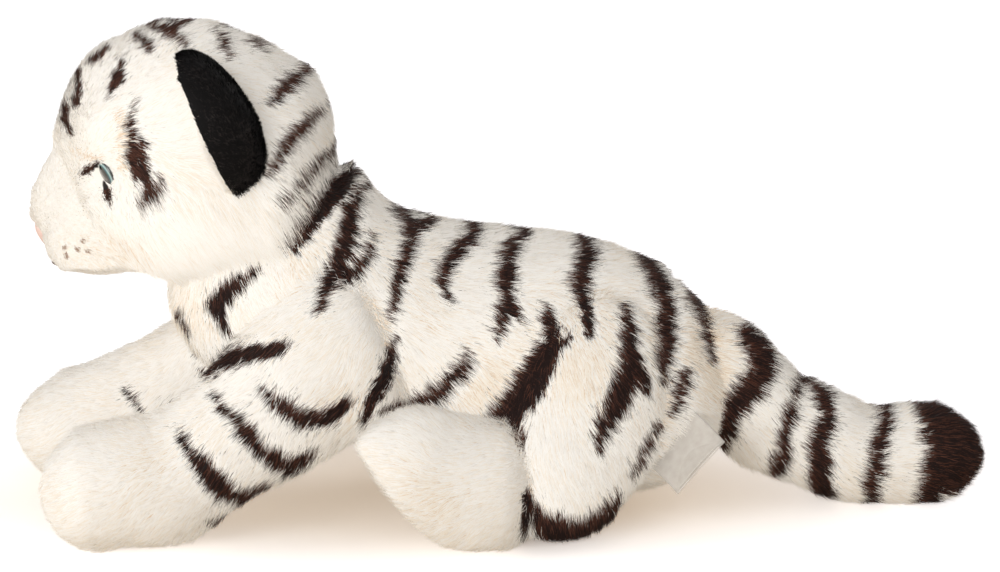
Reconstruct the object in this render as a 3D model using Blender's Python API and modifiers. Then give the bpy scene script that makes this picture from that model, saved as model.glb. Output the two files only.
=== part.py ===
# Soft toy of a white tiger cub, lying with its forelegs stretched out and its head up.
# Metres, +Z up. The cub faces -X, its left side is -Y and its soles rest on z = 0.
# Every sewn form is modelled at the level of its fur backing, and the fur itself is left out.

import bmesh
import bpy
import numpy as np
from math import cos, pi, radians, sin
from mathutils import Matrix, Vector
from mathutils.bvhtree import BVHTree

# Sewing and fit
seam_gap = 0.0003
flat_depth = 0.0005
floor_cutter_depth = 0.02

# Torso
body_length = 0.222
body_width = 0.106
body_depth = 0.106
rump_height = 0.060
neck_height = 0.140

# Head, and the neck that it turns on
head_length = 0.110
head_width = 0.109
head_height = 0.100
head_rise = 0.0195
head_overlap = 0.0485
neck_pivot_inset = 0.020
head_rest_turn = radians(-8)
head_turn_range = radians(15)

# Muzzle, chin and nose
bridge_reach = 0.006
pad_reach = 0.0005
muzzle_root = 0.024
muzzle_drop = 0.034
pad_width = 0.034
pad_height = 0.029
pad_spread = 0.020
bridge_width = 0.029
bridge_depth = 0.022
bridge_root = 0.019
bridge_top_drop = 0.006
bridge_tip_drop = 0.032
chin_width = 0.031
chin_height = 0.013
chin_length = 0.022
chin_drop = 0.0460
nose_width = 0.016
nose_height = 0.013
nose_depth = 0.009
nose_drop = 0.034
nose_tilt = radians(40)

# Eyes
eye_azimuth = radians(57)
eye_elevation = radians(-4)
eye_facing = radians(50)
eye_radius = 0.006
eye_dome = 0.0034
eye_flange = 0.0008
eye_sink = 0.0012
eye_stem_radius = 0.0018
eye_stem_length = 0.0125
eye_stem_notch = 0.0003
washer_radius = 0.0066
washer_thickness = 0.0012
washer_hub_radius = 0.0032
washer_hub_length = 0.0026
washer_depth = 0.0052

# Ears
ear_reach = 0.027
ear_half_length = 0.0285
ear_cup = 0.015
ear_cloth = 0.0022
ear_sink = 0.002
ear_azimuth = radians(26)
ear_elevation = radians(24)
ear_rise = radians(8)
ear_forward_lean = radians(-13)
ear_pitch = radians(26.5)
ear_fold_range = radians(15)

# Forelegs
foreleg_reach = 0.131
foreleg_extra_reach = 0.021
paw_width = 0.048
paw_height = 0.046
paw_spread = 0.108
shoulder_height = 0.086
foreleg_lift = radians(20)

# Hind legs
thigh_length = 0.066
thigh_thickness = 0.046
thigh_height = 0.101
thigh_slant = 0.030
thigh_spread = 0.096
foot_length = 0.080
foot_width = 0.044
foot_height = 0.051
foot_spread = 0.118
toe_rise = 0.016
heel_inset = 0.002
foot_lift = radians(12)

# Tail
tail_length = 0.136
tail_root_width = 0.0395
tail_end_height = 0.0215
tail_lift = radians(20)

# Blank cloth tabs sewn into the seam beside the root of the tail
tab_width = 0.030
tab_length = 0.024
tab_cloth = 0.0006
tab_inset = 0.004
tab_spacing = 0.0024
tab_curl = 0.0012
tab_slope = radians(40)
tab_flare = radians(14)

# Rows of shares along each form, from its first end to its last:
# how far along x, how far along z, half width, half height
torso_shares = (
    (0.00, 0.00, 0.62, 0.64),
    (0.09, -0.01, 0.74, 0.76),
    (0.22, 0.00, 0.94, 0.89),
    (0.38, 0.10, 1.00, 1.00),
    (0.55, 0.24, 0.96, 0.84),
    (0.72, 0.42, 0.96, 0.81),
    (0.86, 0.61, 0.82, 0.94),
    (0.95, 0.86, 0.66, 0.66),
    (1.00, 1.00, 0.54, 0.54),
)
head_shares = (
    (0.00, 0.00, 0.74, 0.74),
    (0.22, 0.01, 0.89, 0.90),
    (0.50, 0.02, 1.00, 1.00),
    (0.76, 0.00, 0.86, 0.87),
    (1.00, -0.03, 0.62, 0.62),
)
pad_shares = (
    (0.00, 0.00, 0.88, 0.88),
    (0.40, 0.00, 1.00, 1.00),
    (0.75, 0.00, 0.94, 0.93),
    (1.00, 0.00, 0.68, 0.68),
)
bridge_shares = (
    (0.00, 0.00, 1.00, 0.72),
    (0.45, 0.22, 1.00, 0.90),
    (0.80, 0.60, 0.98, 1.03),
    (1.00, 1.00, 0.84, 0.98),
)
chin_shares = (
    (0.00, 0.00, 0.90, 0.90),
    (0.50, 0.00, 1.00, 1.00),
    (1.00, 0.00, 0.80, 0.80),
)
nose_shares = (
    (0.00, 0.00, 0.40, 0.70),
    (0.45, 0.45, 0.70, 0.95),
    (0.80, 0.80, 1.00, 1.00),
    (1.00, 1.00, 0.90, 0.85),
)
foreleg_shares = (
    (-0.09, -0.09, 0.75, 1.00),
    (0.00, 0.00, 1.05, 1.48),
    (0.15, 0.22, 1.12, 1.42),
    (0.30, 0.49, 1.04, 1.18),
    (0.46, 0.74, 0.97, 1.02),
    (0.60, 0.87, 1.00, 1.03),
    (0.74, 0.95, 1.08, 1.05),
    (0.87, 1.00, 1.04, 1.00),
    (1.00, 0.98, 0.86, 0.84),
)
reaching_foreleg_shares = (
    (-0.09, -0.09, 0.75, 1.00),
    (0.00, 0.00, 1.05, 1.48),
    (0.15, 0.18, 1.12, 1.42),
    (0.30, 0.38, 1.06, 1.24),
    (0.46, 0.60, 1.00, 1.12),
    (0.60, 0.78, 1.02, 1.08),
    (0.74, 0.93, 1.08, 1.06),
    (0.87, 1.00, 1.04, 1.00),
    (1.00, 0.98, 0.86, 0.84),
)
thigh_shares = (
    (0.00, 0.00, 0.70, 0.62),
    (0.14, 0.17, 0.88, 0.80),
    (0.31, 0.33, 0.97, 0.92),
    (0.50, 0.50, 1.00, 1.00),
    (0.73, 0.67, 1.00, 0.92),
    (0.89, 0.83, 0.92, 0.76),
    (1.00, 1.00, 0.78, 0.60),
)
foot_shares = (
    (0.00, 0.00, 0.80, 0.86),
    (0.20, 0.00, 0.92, 0.98),
    (0.40, 0.03, 0.98, 1.03),
    (0.60, 0.15, 1.02, 1.04),
    (0.80, 0.55, 1.02, 0.98),
    (1.00, 1.00, 0.96, 0.88),
)
tail_shares = (
    (0.00, 0.00, 1.00, 1.00),
    (0.14, 0.04, 1.02, 1.02),
    (0.25, 0.23, 1.02, 1.02),
    (0.35, 0.47, 1.01, 1.01),
    (0.47, 0.70, 0.98, 0.98),
    (0.58, 0.90, 0.94, 0.94),
    (0.68, 0.98, 0.93, 0.93),
    (0.84, 1.00, 0.93, 0.93),
    (1.00, 0.97, 0.87, 0.87),
)

# Where one form stands on the form that carries it, and how much of a form each end rounds off
rump_share = 0.451
shoulder_share = 0.71
shoulder_spread_share = 0.68
hip_share = 0.235
hip_spread_share = 0.74
ankle_share = 0.35
tail_root_share = 0.12
tab_root_share = 0.13
tab_drop_share = 0.30
torso_belly_share = 0.05
head_cheek_share = 0.10
torso_cap_shares = (0.125, 0.125)
head_cap_shares = (0.25, 0.25)
pad_cap_shares = (0.15, 0.44)
bridge_cap_shares = (0.12, 0.32)
chin_cap_shares = (0.25, 0.40)
nose_cap_shares = (0.25, 0.25)
foreleg_cap_shares = (0.10, 0.16)
thigh_cap_shares = (0.30, 0.16)
foot_cap_shares = (0.20, 0.42)
tail_cap_shares = (0.10, 0.12)


def wipe_scene():
    for thing in list(bpy.data.objects):
        bpy.data.objects.remove(thing, do_unlink=True)


def new_collection(name):
    group = bpy.data.collections.new(name)
    bpy.context.scene.collection.children.link(group)
    return group


def finish_of(name, colour, roughness):
    """A Principled material, made once for each name."""
    found = bpy.data.materials.get(name)
    if found:
        return found
    made = bpy.data.materials.new(name)
    made.use_nodes = True
    shader = made.node_tree.nodes["Principled BSDF"]
    shader.inputs["Base Color"].default_value = (*colour, 1.0)
    shader.inputs["Roughness"].default_value = roughness
    shader.inputs["Metallic"].default_value = 0.0
    return made


def white_plush():
    return finish_of("white_plush", (0.88, 0.85, 0.79), 0.9)


def black_plush():
    return finish_of("black_plush", (0.015, 0.013, 0.012), 0.9)


def pink_plush():
    return finish_of("pink_plush", (0.80, 0.52, 0.46), 0.85)


def eye_plastic():
    return finish_of("eye_plastic", (0.32, 0.50, 0.52), 0.08)


def washer_plastic():
    return finish_of("washer_plastic", (0.90, 0.90, 0.88), 0.4)


def tab_satin():
    return finish_of("tab_satin", (0.86, 0.83, 0.79), 0.45)


def add_object(name, mesh, group, material=None):
    made = bpy.data.objects.new(name, mesh)
    group.objects.link(made)
    if material:
        mesh.materials.append(material)
    return made


def smooth_rows(rows, spots):
    """A Catmull-Rom curve through the rows, read at spots from 0 at the first row to 1 at the last."""
    padded = np.vstack([2 * rows[0] - rows[1], rows, 2 * rows[-1] - rows[-2]])
    place = np.clip(spots, 0, 1) * (len(rows) - 1)
    first = np.minimum(place.astype(int), len(rows) - 2)
    u = (place - first)[:, None]
    a, b, c, d = (padded[first + k] for k in range(4))
    bend = (2 * a - 5 * b + 4 * c - d) * u**2
    twist = (3 * b - a - 3 * c + d) * u**3
    return (2 * b + (c - a) * u + bend + twist) / 2


def ring_spots(rings, caps):
    """Spots along a form, closer together where its ends round off, and each spot's rounding factor."""
    turn = np.linspace(0, pi / 2, 6)[1:]
    first = caps[0] * (1 - np.cos(turn))
    last = 1 - caps[1] * (1 - np.cos(turn[::-1]))
    middle = np.linspace(caps[0], 1 - caps[1], rings + 1)[1:-1]
    factor = np.concatenate([np.sin(turn), np.ones(len(middle)), np.sin(turn[::-1])])
    return np.concatenate([first, middle, last]), factor


def swollen_form(name, rows, caps, sides, rings, lower_swell=0.0):
    """A closed stuffed form: elliptic sections square to a smooth path, rounded to a pole at each end.
    Each row is x, y, z, half width, half height. lower_swell widens a section below its middle and
    narrows it above, as cheeks and bellies do."""
    spots, factor = ring_spots(rings, caps)
    there = smooth_rows(rows, spots)
    ends = smooth_rows(rows, np.array([0.0, 1.0]))[:, :3]
    centre = there[:, :3]
    tangent = np.gradient(np.vstack([ends[:1], centre, ends[1:]]), axis=0)[1:-1]
    tangent /= np.linalg.norm(tangent, axis=1)[:, None]
    across = np.array([0.0, 1.0, 0.0]) - tangent * tangent[:, 1:2]
    across /= np.linalg.norm(across, axis=1)[:, None]
    upward = np.cross(across, tangent)
    angle = np.arange(sides) * 2 * pi / sides
    out = np.sin(angle) * (1 - lower_swell * np.cos(angle))
    width = (there[:, 3] * factor)[:, None] * out
    height = (there[:, 4] * factor)[:, None] * np.cos(angle)
    points = centre[:, None] + across[:, None] * width[..., None] + upward[:, None] * height[..., None]
    body = bmesh.new()
    loops = [[body.verts.new(point) for point in ring] for ring in points]
    poles = [body.verts.new(end) for end in ends]
    for lower, upper in zip(loops, loops[1:]):
        for k in range(sides):
            body.faces.new((lower[k - 1], lower[k], upper[k], upper[k - 1]))
    for k in range(sides):
        body.faces.new((poles[0], loops[0][k], loops[0][k - 1]))
        body.faces.new((poles[1], loops[-1][k - 1], loops[-1][k]))
    bmesh.ops.recalc_face_normals(body, faces=body.faces)
    mesh = bpy.data.meshes.new(name)
    body.to_mesh(mesh)
    body.free()
    mesh.shade_smooth()
    return mesh


def rows_of(shares, start, end, width, height, side=1):
    """A form's rows from its rows of shares: x and y run from start to end by the first share,
    z by the second, and a side of -1 mirrors the form to the cub's left."""
    table = np.array(shares)
    start, end = np.array(start), np.array(end)
    along = start + table[:, :1] * (end - start)
    rise = start[2] + table[:, 1] * (end[2] - start[2])
    half = [table[:, 2] * width / 2, table[:, 3] * height / 2]
    return np.column_stack([along[:, 0], side * along[:, 1], rise, *half])


def move_origin(thing, point):
    """Puts an object's origin on a point and leaves its shape where it is."""
    thing.data.transform(Matrix.Translation(-Vector(point)))
    thing.location = point
    bpy.context.view_layer.update()


def pivot_at(name, point, group):
    pivot = bpy.data.objects.new(name, None)
    pivot.location = point
    group.objects.link(pivot)
    bpy.context.view_layer.update()
    return pivot


def hang_on(child, parent):
    """Parents the child so that it keeps its place."""
    child.parent = parent
    child.matrix_parent_inverse = parent.matrix_world.inverted()


def as_cutter(thing):
    thing.hide_render = True
    thing.display_type = "WIRE"


def shape_now(thing):
    """A copy of the object's mesh with its modifiers applied, in its own frame."""
    bpy.context.view_layer.update()
    return bpy.data.meshes.new_from_object(thing.evaluated_get(bpy.context.evaluated_depsgraph_get()))


def grown_copy(thing, name, group):
    """A cutter of the object's form, every vertex moved out along its normal by the seam gap."""
    mesh = shape_now(thing)
    body = bmesh.new()
    body.from_mesh(mesh)
    body.normal_update()
    for vert in body.verts:
        vert.co += vert.normal * seam_gap
    body.to_mesh(mesh)
    body.free()
    made = add_object(name, mesh, group)
    made.matrix_world = thing.matrix_world.copy()
    as_cutter(made)
    return made


def combine(thing, other, operation="DIFFERENCE", solver="EXACT"):
    step = thing.modifiers.new(other.name, "BOOLEAN")
    step.operation = operation
    step.solver = solver
    step.object = other


def about(point, axis, angle):
    """The turn by an angle about an axis through a point."""
    there = Matrix.Translation(Vector(point))
    return there @ Matrix.Rotation(angle, 4, Vector(axis)) @ there.inverted()


def cut_clear(thing, grown, point, axis, angles):
    """Cuts a moving piece clear of a larger one at every angle it turns to about its joint.
    Seen from the moving piece the larger one turns the other way, so copies of it are turned back."""
    for k, angle in enumerate(angles):
        cutter = grown.copy()
        cutter.name = f"{thing.name}_clear_{k}"
        grown.users_collection[0].objects.link(cutter)
        cutter.matrix_world = about(point, axis, -angle) @ grown.matrix_world
        combine(thing, cutter, solver="MANIFOLD")


def floor_block(group):
    """A block whose top is the floor, which flattens the soft forms that stand on it."""
    body = bmesh.new()
    bmesh.ops.create_cube(body, size=1.0)
    mesh = bpy.data.meshes.new("floor_block")
    body.to_mesh(mesh)
    body.free()
    across = 4 * body_length
    mesh.transform(Matrix.Diagonal((across, across, floor_cutter_depth, 1)))
    made = add_object("floor_block", mesh, group)
    made.location.z = -floor_cutter_depth / 2
    as_cutter(made)
    return made


def surface_point(thing, origin, direction):
    """The first point where a ray meets an object's surface."""
    body = bmesh.new()
    body.from_mesh(shape_now(thing))
    body.transform(thing.matrix_world)
    tree = BVHTree.FromBMesh(body)
    body.free()
    return tree.ray_cast(Vector(origin), Vector(direction).normalized())[0]


def heading(azimuth, elevation, side):
    """A direction: azimuth from the cub's face towards its side, elevation above the horizon."""
    return Vector((-cos(azimuth) * cos(elevation), side * sin(azimuth) * cos(elevation), sin(elevation)))


def turned_piece(name, profile, group, material=None, closed=False):
    """A solid turned about its own Z from a profile of (radius, height) points, outer side downwards."""
    line = bmesh.new()
    points = [line.verts.new((radius, 0, height)) for radius, height in profile]
    for first, second in zip(points, points[1:] + points[:1] * closed):
        line.edges.new((first, second))
    mesh = bpy.data.meshes.new(name)
    line.to_mesh(mesh)
    line.free()
    made = add_object(name, mesh, group, material)
    screw = made.modifiers.new("turn", "SCREW")
    screw.steps = 20
    screw.render_steps = 20
    screw.use_merge_vertices = True
    screw.merge_threshold = 0.00001
    return made


def stand_on(thing, spot, direction):
    """Stands an object's own Z along a direction at a spot."""
    turn = direction.to_track_quat("Z", "Y").to_matrix().to_4x4()
    thing.matrix_world = Matrix.Translation(spot) @ turn
    bpy.context.view_layer.update()


def cloth_sheet(name, points, closed, thickness, offset, facing, group, material):
    """One layer of cloth: an open grid of points, given its thickness by Solidify.
    A closed grid is a bowl of rings about its first point. Its faces look along facing."""
    body = bmesh.new()
    loops = [[body.verts.new(point) for point in ring] for ring in points]
    for inner, outer in zip(loops, loops[1:]):
        for k in range(0 if closed else 1, len(inner)):
            body.faces.new((inner[k - 1], outer[k - 1], outer[k], inner[k]))
    if closed:
        middle = body.verts.new(np.mean(points[0], axis=0))
        for k in range(len(loops[0])):
            body.faces.new((middle, loops[0][k - 1], loops[0][k]))
    bmesh.ops.recalc_face_normals(body, faces=body.faces)
    if sum((face.normal for face in body.faces), Vector()).dot(facing) < 0:
        bmesh.ops.reverse_faces(body, faces=body.faces)
    mesh = bpy.data.meshes.new(name)
    body.to_mesh(mesh)
    body.free()
    made = add_object(name, mesh, group, material)
    solid = made.modifiers.new("cloth", "SOLIDIFY")
    solid.thickness = thickness
    solid.offset = offset
    solid.use_even_offset = True
    return made


def make_torso(parts):
    rump = Vector((body_length * rump_share, 0, rump_height))
    neck = Vector((rump.x - body_length, 0, neck_height))
    rows = rows_of(torso_shares, rump, neck, body_width, body_depth)
    mesh = swollen_form("torso", rows, torso_cap_shares, 30, 18, torso_belly_share)
    return add_object("torso", mesh, parts, white_plush()), rump, neck


def make_head(parts, neck):
    back = Vector((neck.x + head_overlap, 0, neck.z + head_rise))
    front = back + Vector((-head_length, 0, head_height))
    rows = rows_of(head_shares, back, front, head_width, head_height)
    head = add_object("head", swollen_form("head", rows, head_cap_shares, 30, 12, head_cheek_share),
                      parts, white_plush())
    centre = back - Vector((head_length / 2, 0, 0))
    pivot = pivot_at("neck_pivot", (neck.x + neck_pivot_inset, 0, neck.z), parts)
    move_origin(head, pivot.location)
    return head, centre, pivot


def make_muzzle(parts, cutters, head_grown, centre):
    """Two pads and the bridge of the nose joined into one form, and the chin below them."""
    face = centre.x - head_length / 2
    muzzle = None
    for side in (-1, 1):
        start = Vector((face + muzzle_root, pad_spread / 2, centre.z - muzzle_drop))
        end = Vector((face - pad_reach, pad_spread / 2, start.z))
        rows = rows_of(pad_shares, start, end, pad_width, pad_height, side)
        mesh = swollen_form("muzzle", rows, pad_cap_shares, 20, 6)
        if muzzle is None:
            muzzle = add_object("muzzle", mesh, parts, white_plush())
        else:
            other_pad = add_object("other_pad", mesh, cutters)
    start = Vector((face + bridge_root, 0, centre.z - bridge_top_drop))
    end = Vector((face - bridge_reach, 0, centre.z - bridge_tip_drop))
    rows = rows_of(bridge_shares, start, end, bridge_width, bridge_depth)
    bridge = add_object("nose_bridge", swollen_form("nose_bridge", rows, bridge_cap_shares, 16, 5), cutters)
    for piece in (other_pad, bridge):
        as_cutter(piece)
        combine(muzzle, piece, "UNION")
    muzzle_grown = grown_copy(muzzle, "grown_muzzle", cutters)
    combine(muzzle, head_grown)

    start = Vector((face + muzzle_root, 0, centre.z - chin_drop))
    rows = rows_of(chin_shares, start, start - Vector((chin_length, 0, 0)), chin_width, chin_height)
    chin = add_object("chin", swollen_form("chin", rows, chin_cap_shares, 20, 5), parts, white_plush())
    combine(chin, muzzle_grown)
    combine(chin, head_grown)
    return muzzle, chin, muzzle_grown


def make_nose(parts, muzzle_grown, centre):
    """A pink pad, wider above than below, seated on the front of the muzzle."""
    inward = Vector((cos(nose_tilt), 0, sin(nose_tilt)))
    upward = Vector((-inward.z, 0, inward.x))
    goal = centre - Vector((head_length / 2 + bridge_reach, 0, nose_drop))
    spot = surface_point(muzzle_grown, goal - inward * head_length, inward)
    half = upward * nose_height / 2
    rows = rows_of(nose_shares, spot - half, spot + half, nose_width, nose_depth)
    nose = add_object("nose", swollen_form("nose", rows, nose_cap_shares, 18, 4), parts, pink_plush())
    combine(nose, muzzle_grown)
    return nose


def stem_profile(foot):
    """The eye's stem from the flange down, with three notches that hold the lock washer."""
    notched = eye_stem_radius - eye_stem_notch
    pitch = (eye_stem_length - washer_depth) / 4
    points = [(eye_stem_radius, foot)]
    for k in range(1, 4):
        level = foot - washer_depth - (k - 1 / 2) * pitch
        points += [(eye_stem_radius, level), (notched, level - pitch / 2), (eye_stem_radius, level - pitch / 2)]
    return points + [(eye_stem_radius, foot - eye_stem_length), (0, foot - eye_stem_length)]


def make_eyes(parts, cutters, head, centre):
    """Plastic safety eyes: a dome with a flange and a stem through the head, and a washer locked on it."""
    foot = seam_gap - eye_sink
    top = foot + eye_flange
    dome = [(eye_radius * sin(turn), top + eye_dome * cos(turn)) for turn in np.linspace(0, pi / 2, 6)]
    bore = eye_stem_radius + seam_gap
    washer_top = foot - washer_depth
    washer_foot = washer_top - washer_hub_length
    pocket = washer_radius + seam_gap
    bottom = foot - eye_stem_length - seam_gap
    seat = eye_radius + seam_gap
    seat_profile = [
        (0, top + eye_dome * 2), (seat, top + eye_dome * 2), (seat, -eye_sink), (bore, -eye_sink),
        (bore, washer_top + seam_gap), (pocket, washer_top + seam_gap),
        (pocket, washer_foot - seam_gap), (bore, washer_foot - seam_gap), (bore, bottom), (0, bottom),
    ]
    washer_profile = [
        (bore, washer_top), (washer_radius, washer_top), (washer_radius, washer_top - washer_thickness),
        (washer_hub_radius, washer_top - washer_thickness), (washer_hub_radius, washer_foot),
        (bore, washer_foot),
    ]
    made = []
    for side, word in ((-1, "left"), (1, "right")):
        spot = surface_point(head, centre, heading(eye_azimuth, eye_elevation, side))
        direction = heading(eye_facing, eye_elevation, side)
        eye = turned_piece(f"eye_{word}", dome + [(eye_radius, foot)] + stem_profile(foot), parts, eye_plastic())
        washer = turned_piece(f"eye_washer_{word}", washer_profile, parts, washer_plastic(), closed=True)
        seat_cutter = turned_piece(f"eye_seat_{word}", seat_profile, cutters)
        as_cutter(seat_cutter)
        for piece in (eye, washer, seat_cutter):
            stand_on(piece, spot, direction)
        made += [eye, washer, seat_cutter]
    return made


def make_ears(parts, head, head_grown, centre):
    """Each ear is a black back and a white front, two cupped layers that fold about the seam on the head."""
    radius = np.linspace(0, 1, 7)[1:, None]
    angle = np.arange(24)[None, :] * 2 * pi / 24
    made = []
    for side, word in ((-1, "left"), (1, "right")):
        towards = heading(pi / 2 + ear_azimuth, ear_elevation, side)
        base = surface_point(head, centre, towards) - towards * ear_sink
        outward = heading(pi / 2 + ear_forward_lean, ear_rise, side)
        along = Vector((-sin(ear_pitch), 0, cos(ear_pitch)))
        along = (along - outward * along.dot(outward)).normalized()
        opening = outward.cross(along) * -side
        bowl = (
            np.array(base)
            + (radius * np.cos(angle) * ear_reach)[..., None] * np.array(outward)
            + (radius * np.sin(angle) * ear_half_length)[..., None] * np.array(along)
            - ((1 - radius**2) * ear_cup * np.ones(angle.shape))[..., None] * np.array(opening)
        )
        for layer, material, offset, shift in (
            ("back", black_plush(), 1, -seam_gap / 2),
            ("front", white_plush(), -1, seam_gap / 2),
        ):
            points = bowl + np.array(opening) * shift
            ear = cloth_sheet(f"ear_{layer}_{word}", points, True, ear_cloth, offset, -opening, parts, material)
            move_origin(ear, base)
            cut_clear(ear, head_grown, base, along, (0, -ear_fold_range, ear_fold_range))
            made.append(ear)
        print(f"ear_{word}_fold: at", tuple(base), "axis", tuple(along), "opening", tuple(opening))
    return made


def make_forelegs(parts, torso_grown, rump, floor):
    made = []
    shoulder = Vector((rump.x - body_length * shoulder_share, shoulder_spread_share * body_width / 2,
                       shoulder_height))
    for side, word, extra, shares in (
        (-1, "left", 0, foreleg_shares),
        (1, "right", foreleg_extra_reach, reaching_foreleg_shares),
    ):
        paw = Vector((shoulder.x - foreleg_reach - extra, paw_spread / 2, paw_height / 2 - flat_depth))
        rows = rows_of(shares, shoulder, paw, paw_width, paw_height, side)
        mesh = swollen_form(f"foreleg_{word}", rows, foreleg_cap_shares, 22, 15)
        leg = add_object(f"foreleg_{word}", mesh, parts, white_plush())
        joint = Vector((shoulder.x, side * shoulder.y, shoulder.z))
        move_origin(leg, joint)
        cut_clear(leg, torso_grown, joint, (0, 1, 0), (0, foreleg_lift / 2, foreleg_lift))
        combine(leg, floor)
        made.append(leg)
        print(f"foreleg_{word}_lift: at", tuple(joint))
    return made


def make_hind_legs(parts, cutters, torso_grown, rump, floor):
    """Haunches sewn along the flanks, and the large feet that hinge on them at the ankle."""
    made = []
    hip = Vector((rump.x - body_length * hip_share, hip_spread_share * thigh_spread / 2, thigh_height))
    for side, word in ((-1, "left"), (1, "right")):
        hock = Vector((hip.x - thigh_slant, thigh_spread / 2, -flat_depth))
        rows = rows_of(thigh_shares, hip, hock, thigh_thickness, thigh_length, side)
        thigh = add_object(f"thigh_{word}", swollen_form(f"thigh_{word}", rows, thigh_cap_shares, 22, 11),
                           parts, white_plush())
        thigh_grown = grown_copy(thigh, f"grown_thigh_{word}", cutters)
        combine(thigh, torso_grown)
        combine(thigh, floor)

        heel = Vector((rump.x - body_length * ankle_share, foot_spread / 2, foot_height / 2 - flat_depth))
        toe = heel + Vector((-foot_length, 0, toe_rise))
        rows = rows_of(foot_shares, heel, toe, foot_width, foot_height, side)
        foot = add_object(f"hind_foot_{word}", swollen_form(f"hind_foot_{word}", rows, foot_cap_shares, 22, 8),
                          parts, white_plush())
        joint = Vector((heel.x - heel_inset, side * heel.y, heel.z))
        move_origin(foot, joint)
        for grown in (thigh_grown, torso_grown):
            cut_clear(foot, grown, joint, (0, 1, 0), (0, foot_lift / 2, foot_lift))
        combine(foot, floor)
        made += [thigh, foot, thigh_grown]
        print(f"hind_foot_{word}_lift: at", tuple(joint))
    return made


def make_tail(parts, cutters, torso_grown, rump):
    root = Vector((rump.x - body_length * tail_root_share, 0, rump.z))
    tip = Vector((root.x + tail_length, 0, tail_end_height))
    rows = rows_of(tail_shares, root, tip, tail_root_width, tail_root_width)
    tail = add_object("tail", swollen_form("tail", rows, tail_cap_shares, 24, 16), parts, white_plush())
    move_origin(tail, root)
    tail_grown = grown_copy(tail, "grown_tail", cutters)
    cut_clear(tail, torso_grown, root, (0, -1, 0), (0, tail_lift / 2, tail_lift))
    print("tail_lift: at", tuple(root))
    return tail_grown


def make_tabs(parts, torso, blockers, rump):
    """Two blank satin tabs, one behind the other, hanging from the seam beside the root of the tail."""
    inside = Vector((rump.x - body_length * tab_root_share, 0, rump.z - body_depth * tab_drop_share / 2))
    seat = surface_point(torso, inside, (0, -1, 0))
    across = Vector((sin(tab_slope), 0, cos(tab_slope)))
    down = Vector((cos(tab_slope) * cos(tab_flare), -sin(tab_flare), -sin(tab_slope) * cos(tab_flare)))
    facing = across.cross(down)
    u, v = np.meshgrid(np.linspace(-1, 1, 7), np.linspace(0, 1, 6))
    for k, word in enumerate(("outer", "inner")):
        start = np.array(seat - down * tab_inset - facing * facing.y * -k * tab_spacing)
        points = (
            start
            + (u * tab_width / 2)[..., None] * np.array(across)
            + (v * (tab_length + tab_inset))[..., None] * np.array(down)
            + (u**2 * v * tab_curl)[..., None] * np.array(facing)
        )
        tab = cloth_sheet(f"tab_{word}", points, False, tab_cloth, 0, facing, parts, tab_satin())
        for blocker in blockers:
            combine(tab, blocker)


def main():
    wipe_scene()
    parts = new_collection("tiger_cub")
    cutters = new_collection("cutters")
    floor = floor_block(cutters)

    torso, rump, neck = make_torso(parts)
    torso_grown = grown_copy(torso, "grown_torso", cutters)

    head, centre, pivot = make_head(parts, neck)
    head_grown = grown_copy(head, "grown_head", cutters)
    muzzle, chin, muzzle_grown = make_muzzle(parts, cutters, head_grown, centre)
    nose = make_nose(parts, muzzle_grown, centre)
    eyes = make_eyes(parts, cutters, head, centre)
    ears = make_ears(parts, head, head_grown, centre)
    for piece in (head, muzzle, chin, nose, head_grown, muzzle_grown, *eyes, *ears):
        hang_on(piece, pivot)
    for piece in list(cutters.objects):
        if piece.name.startswith(("ear_", "other_pad", "nose_bridge")):
            hang_on(piece, pivot)
    pivot.rotation_euler.z = head_rest_turn
    bpy.context.view_layer.update()
    for cutter in (piece for piece in eyes if piece.name.startswith("eye_seat")):
        combine(head, cutter)
    cut_clear(head, torso_grown, pivot.location, (0, 0, 1),
              (-head_turn_range, -head_turn_range / 2, 0, head_turn_range / 2, head_turn_range))
    print("head_turn: at", tuple(pivot.location))

    make_forelegs(parts, torso_grown, rump, floor)
    thighs = make_hind_legs(parts, cutters, torso_grown, rump, floor)
    tail_grown = make_tail(parts, cutters, torso_grown, rump)
    make_tabs(parts, torso, [torso_grown, thighs[2], tail_grown], rump)


main()
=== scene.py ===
import math

import bpy
import numpy as np
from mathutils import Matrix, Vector


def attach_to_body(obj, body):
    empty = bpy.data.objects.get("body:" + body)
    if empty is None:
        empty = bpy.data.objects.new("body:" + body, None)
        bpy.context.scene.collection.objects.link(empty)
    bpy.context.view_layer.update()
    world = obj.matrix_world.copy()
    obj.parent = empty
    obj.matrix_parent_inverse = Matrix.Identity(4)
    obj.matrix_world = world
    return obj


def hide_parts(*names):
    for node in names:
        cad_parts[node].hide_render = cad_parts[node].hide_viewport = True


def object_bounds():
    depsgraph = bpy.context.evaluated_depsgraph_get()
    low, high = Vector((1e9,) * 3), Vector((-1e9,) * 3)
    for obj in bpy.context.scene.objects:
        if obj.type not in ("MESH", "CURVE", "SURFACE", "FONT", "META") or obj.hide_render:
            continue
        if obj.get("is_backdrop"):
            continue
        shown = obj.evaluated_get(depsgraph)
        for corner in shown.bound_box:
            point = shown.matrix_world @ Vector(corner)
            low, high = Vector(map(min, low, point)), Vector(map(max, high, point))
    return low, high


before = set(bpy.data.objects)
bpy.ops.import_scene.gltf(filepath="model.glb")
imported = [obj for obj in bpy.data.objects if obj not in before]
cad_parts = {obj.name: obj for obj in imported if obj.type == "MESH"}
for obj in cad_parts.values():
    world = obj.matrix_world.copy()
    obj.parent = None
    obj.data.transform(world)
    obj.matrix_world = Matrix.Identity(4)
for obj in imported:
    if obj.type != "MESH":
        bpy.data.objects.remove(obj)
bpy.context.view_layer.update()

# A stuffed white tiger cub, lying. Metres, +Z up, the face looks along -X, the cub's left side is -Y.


# The picture's viewpoint, which the coat's pattern is also drawn from

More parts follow.
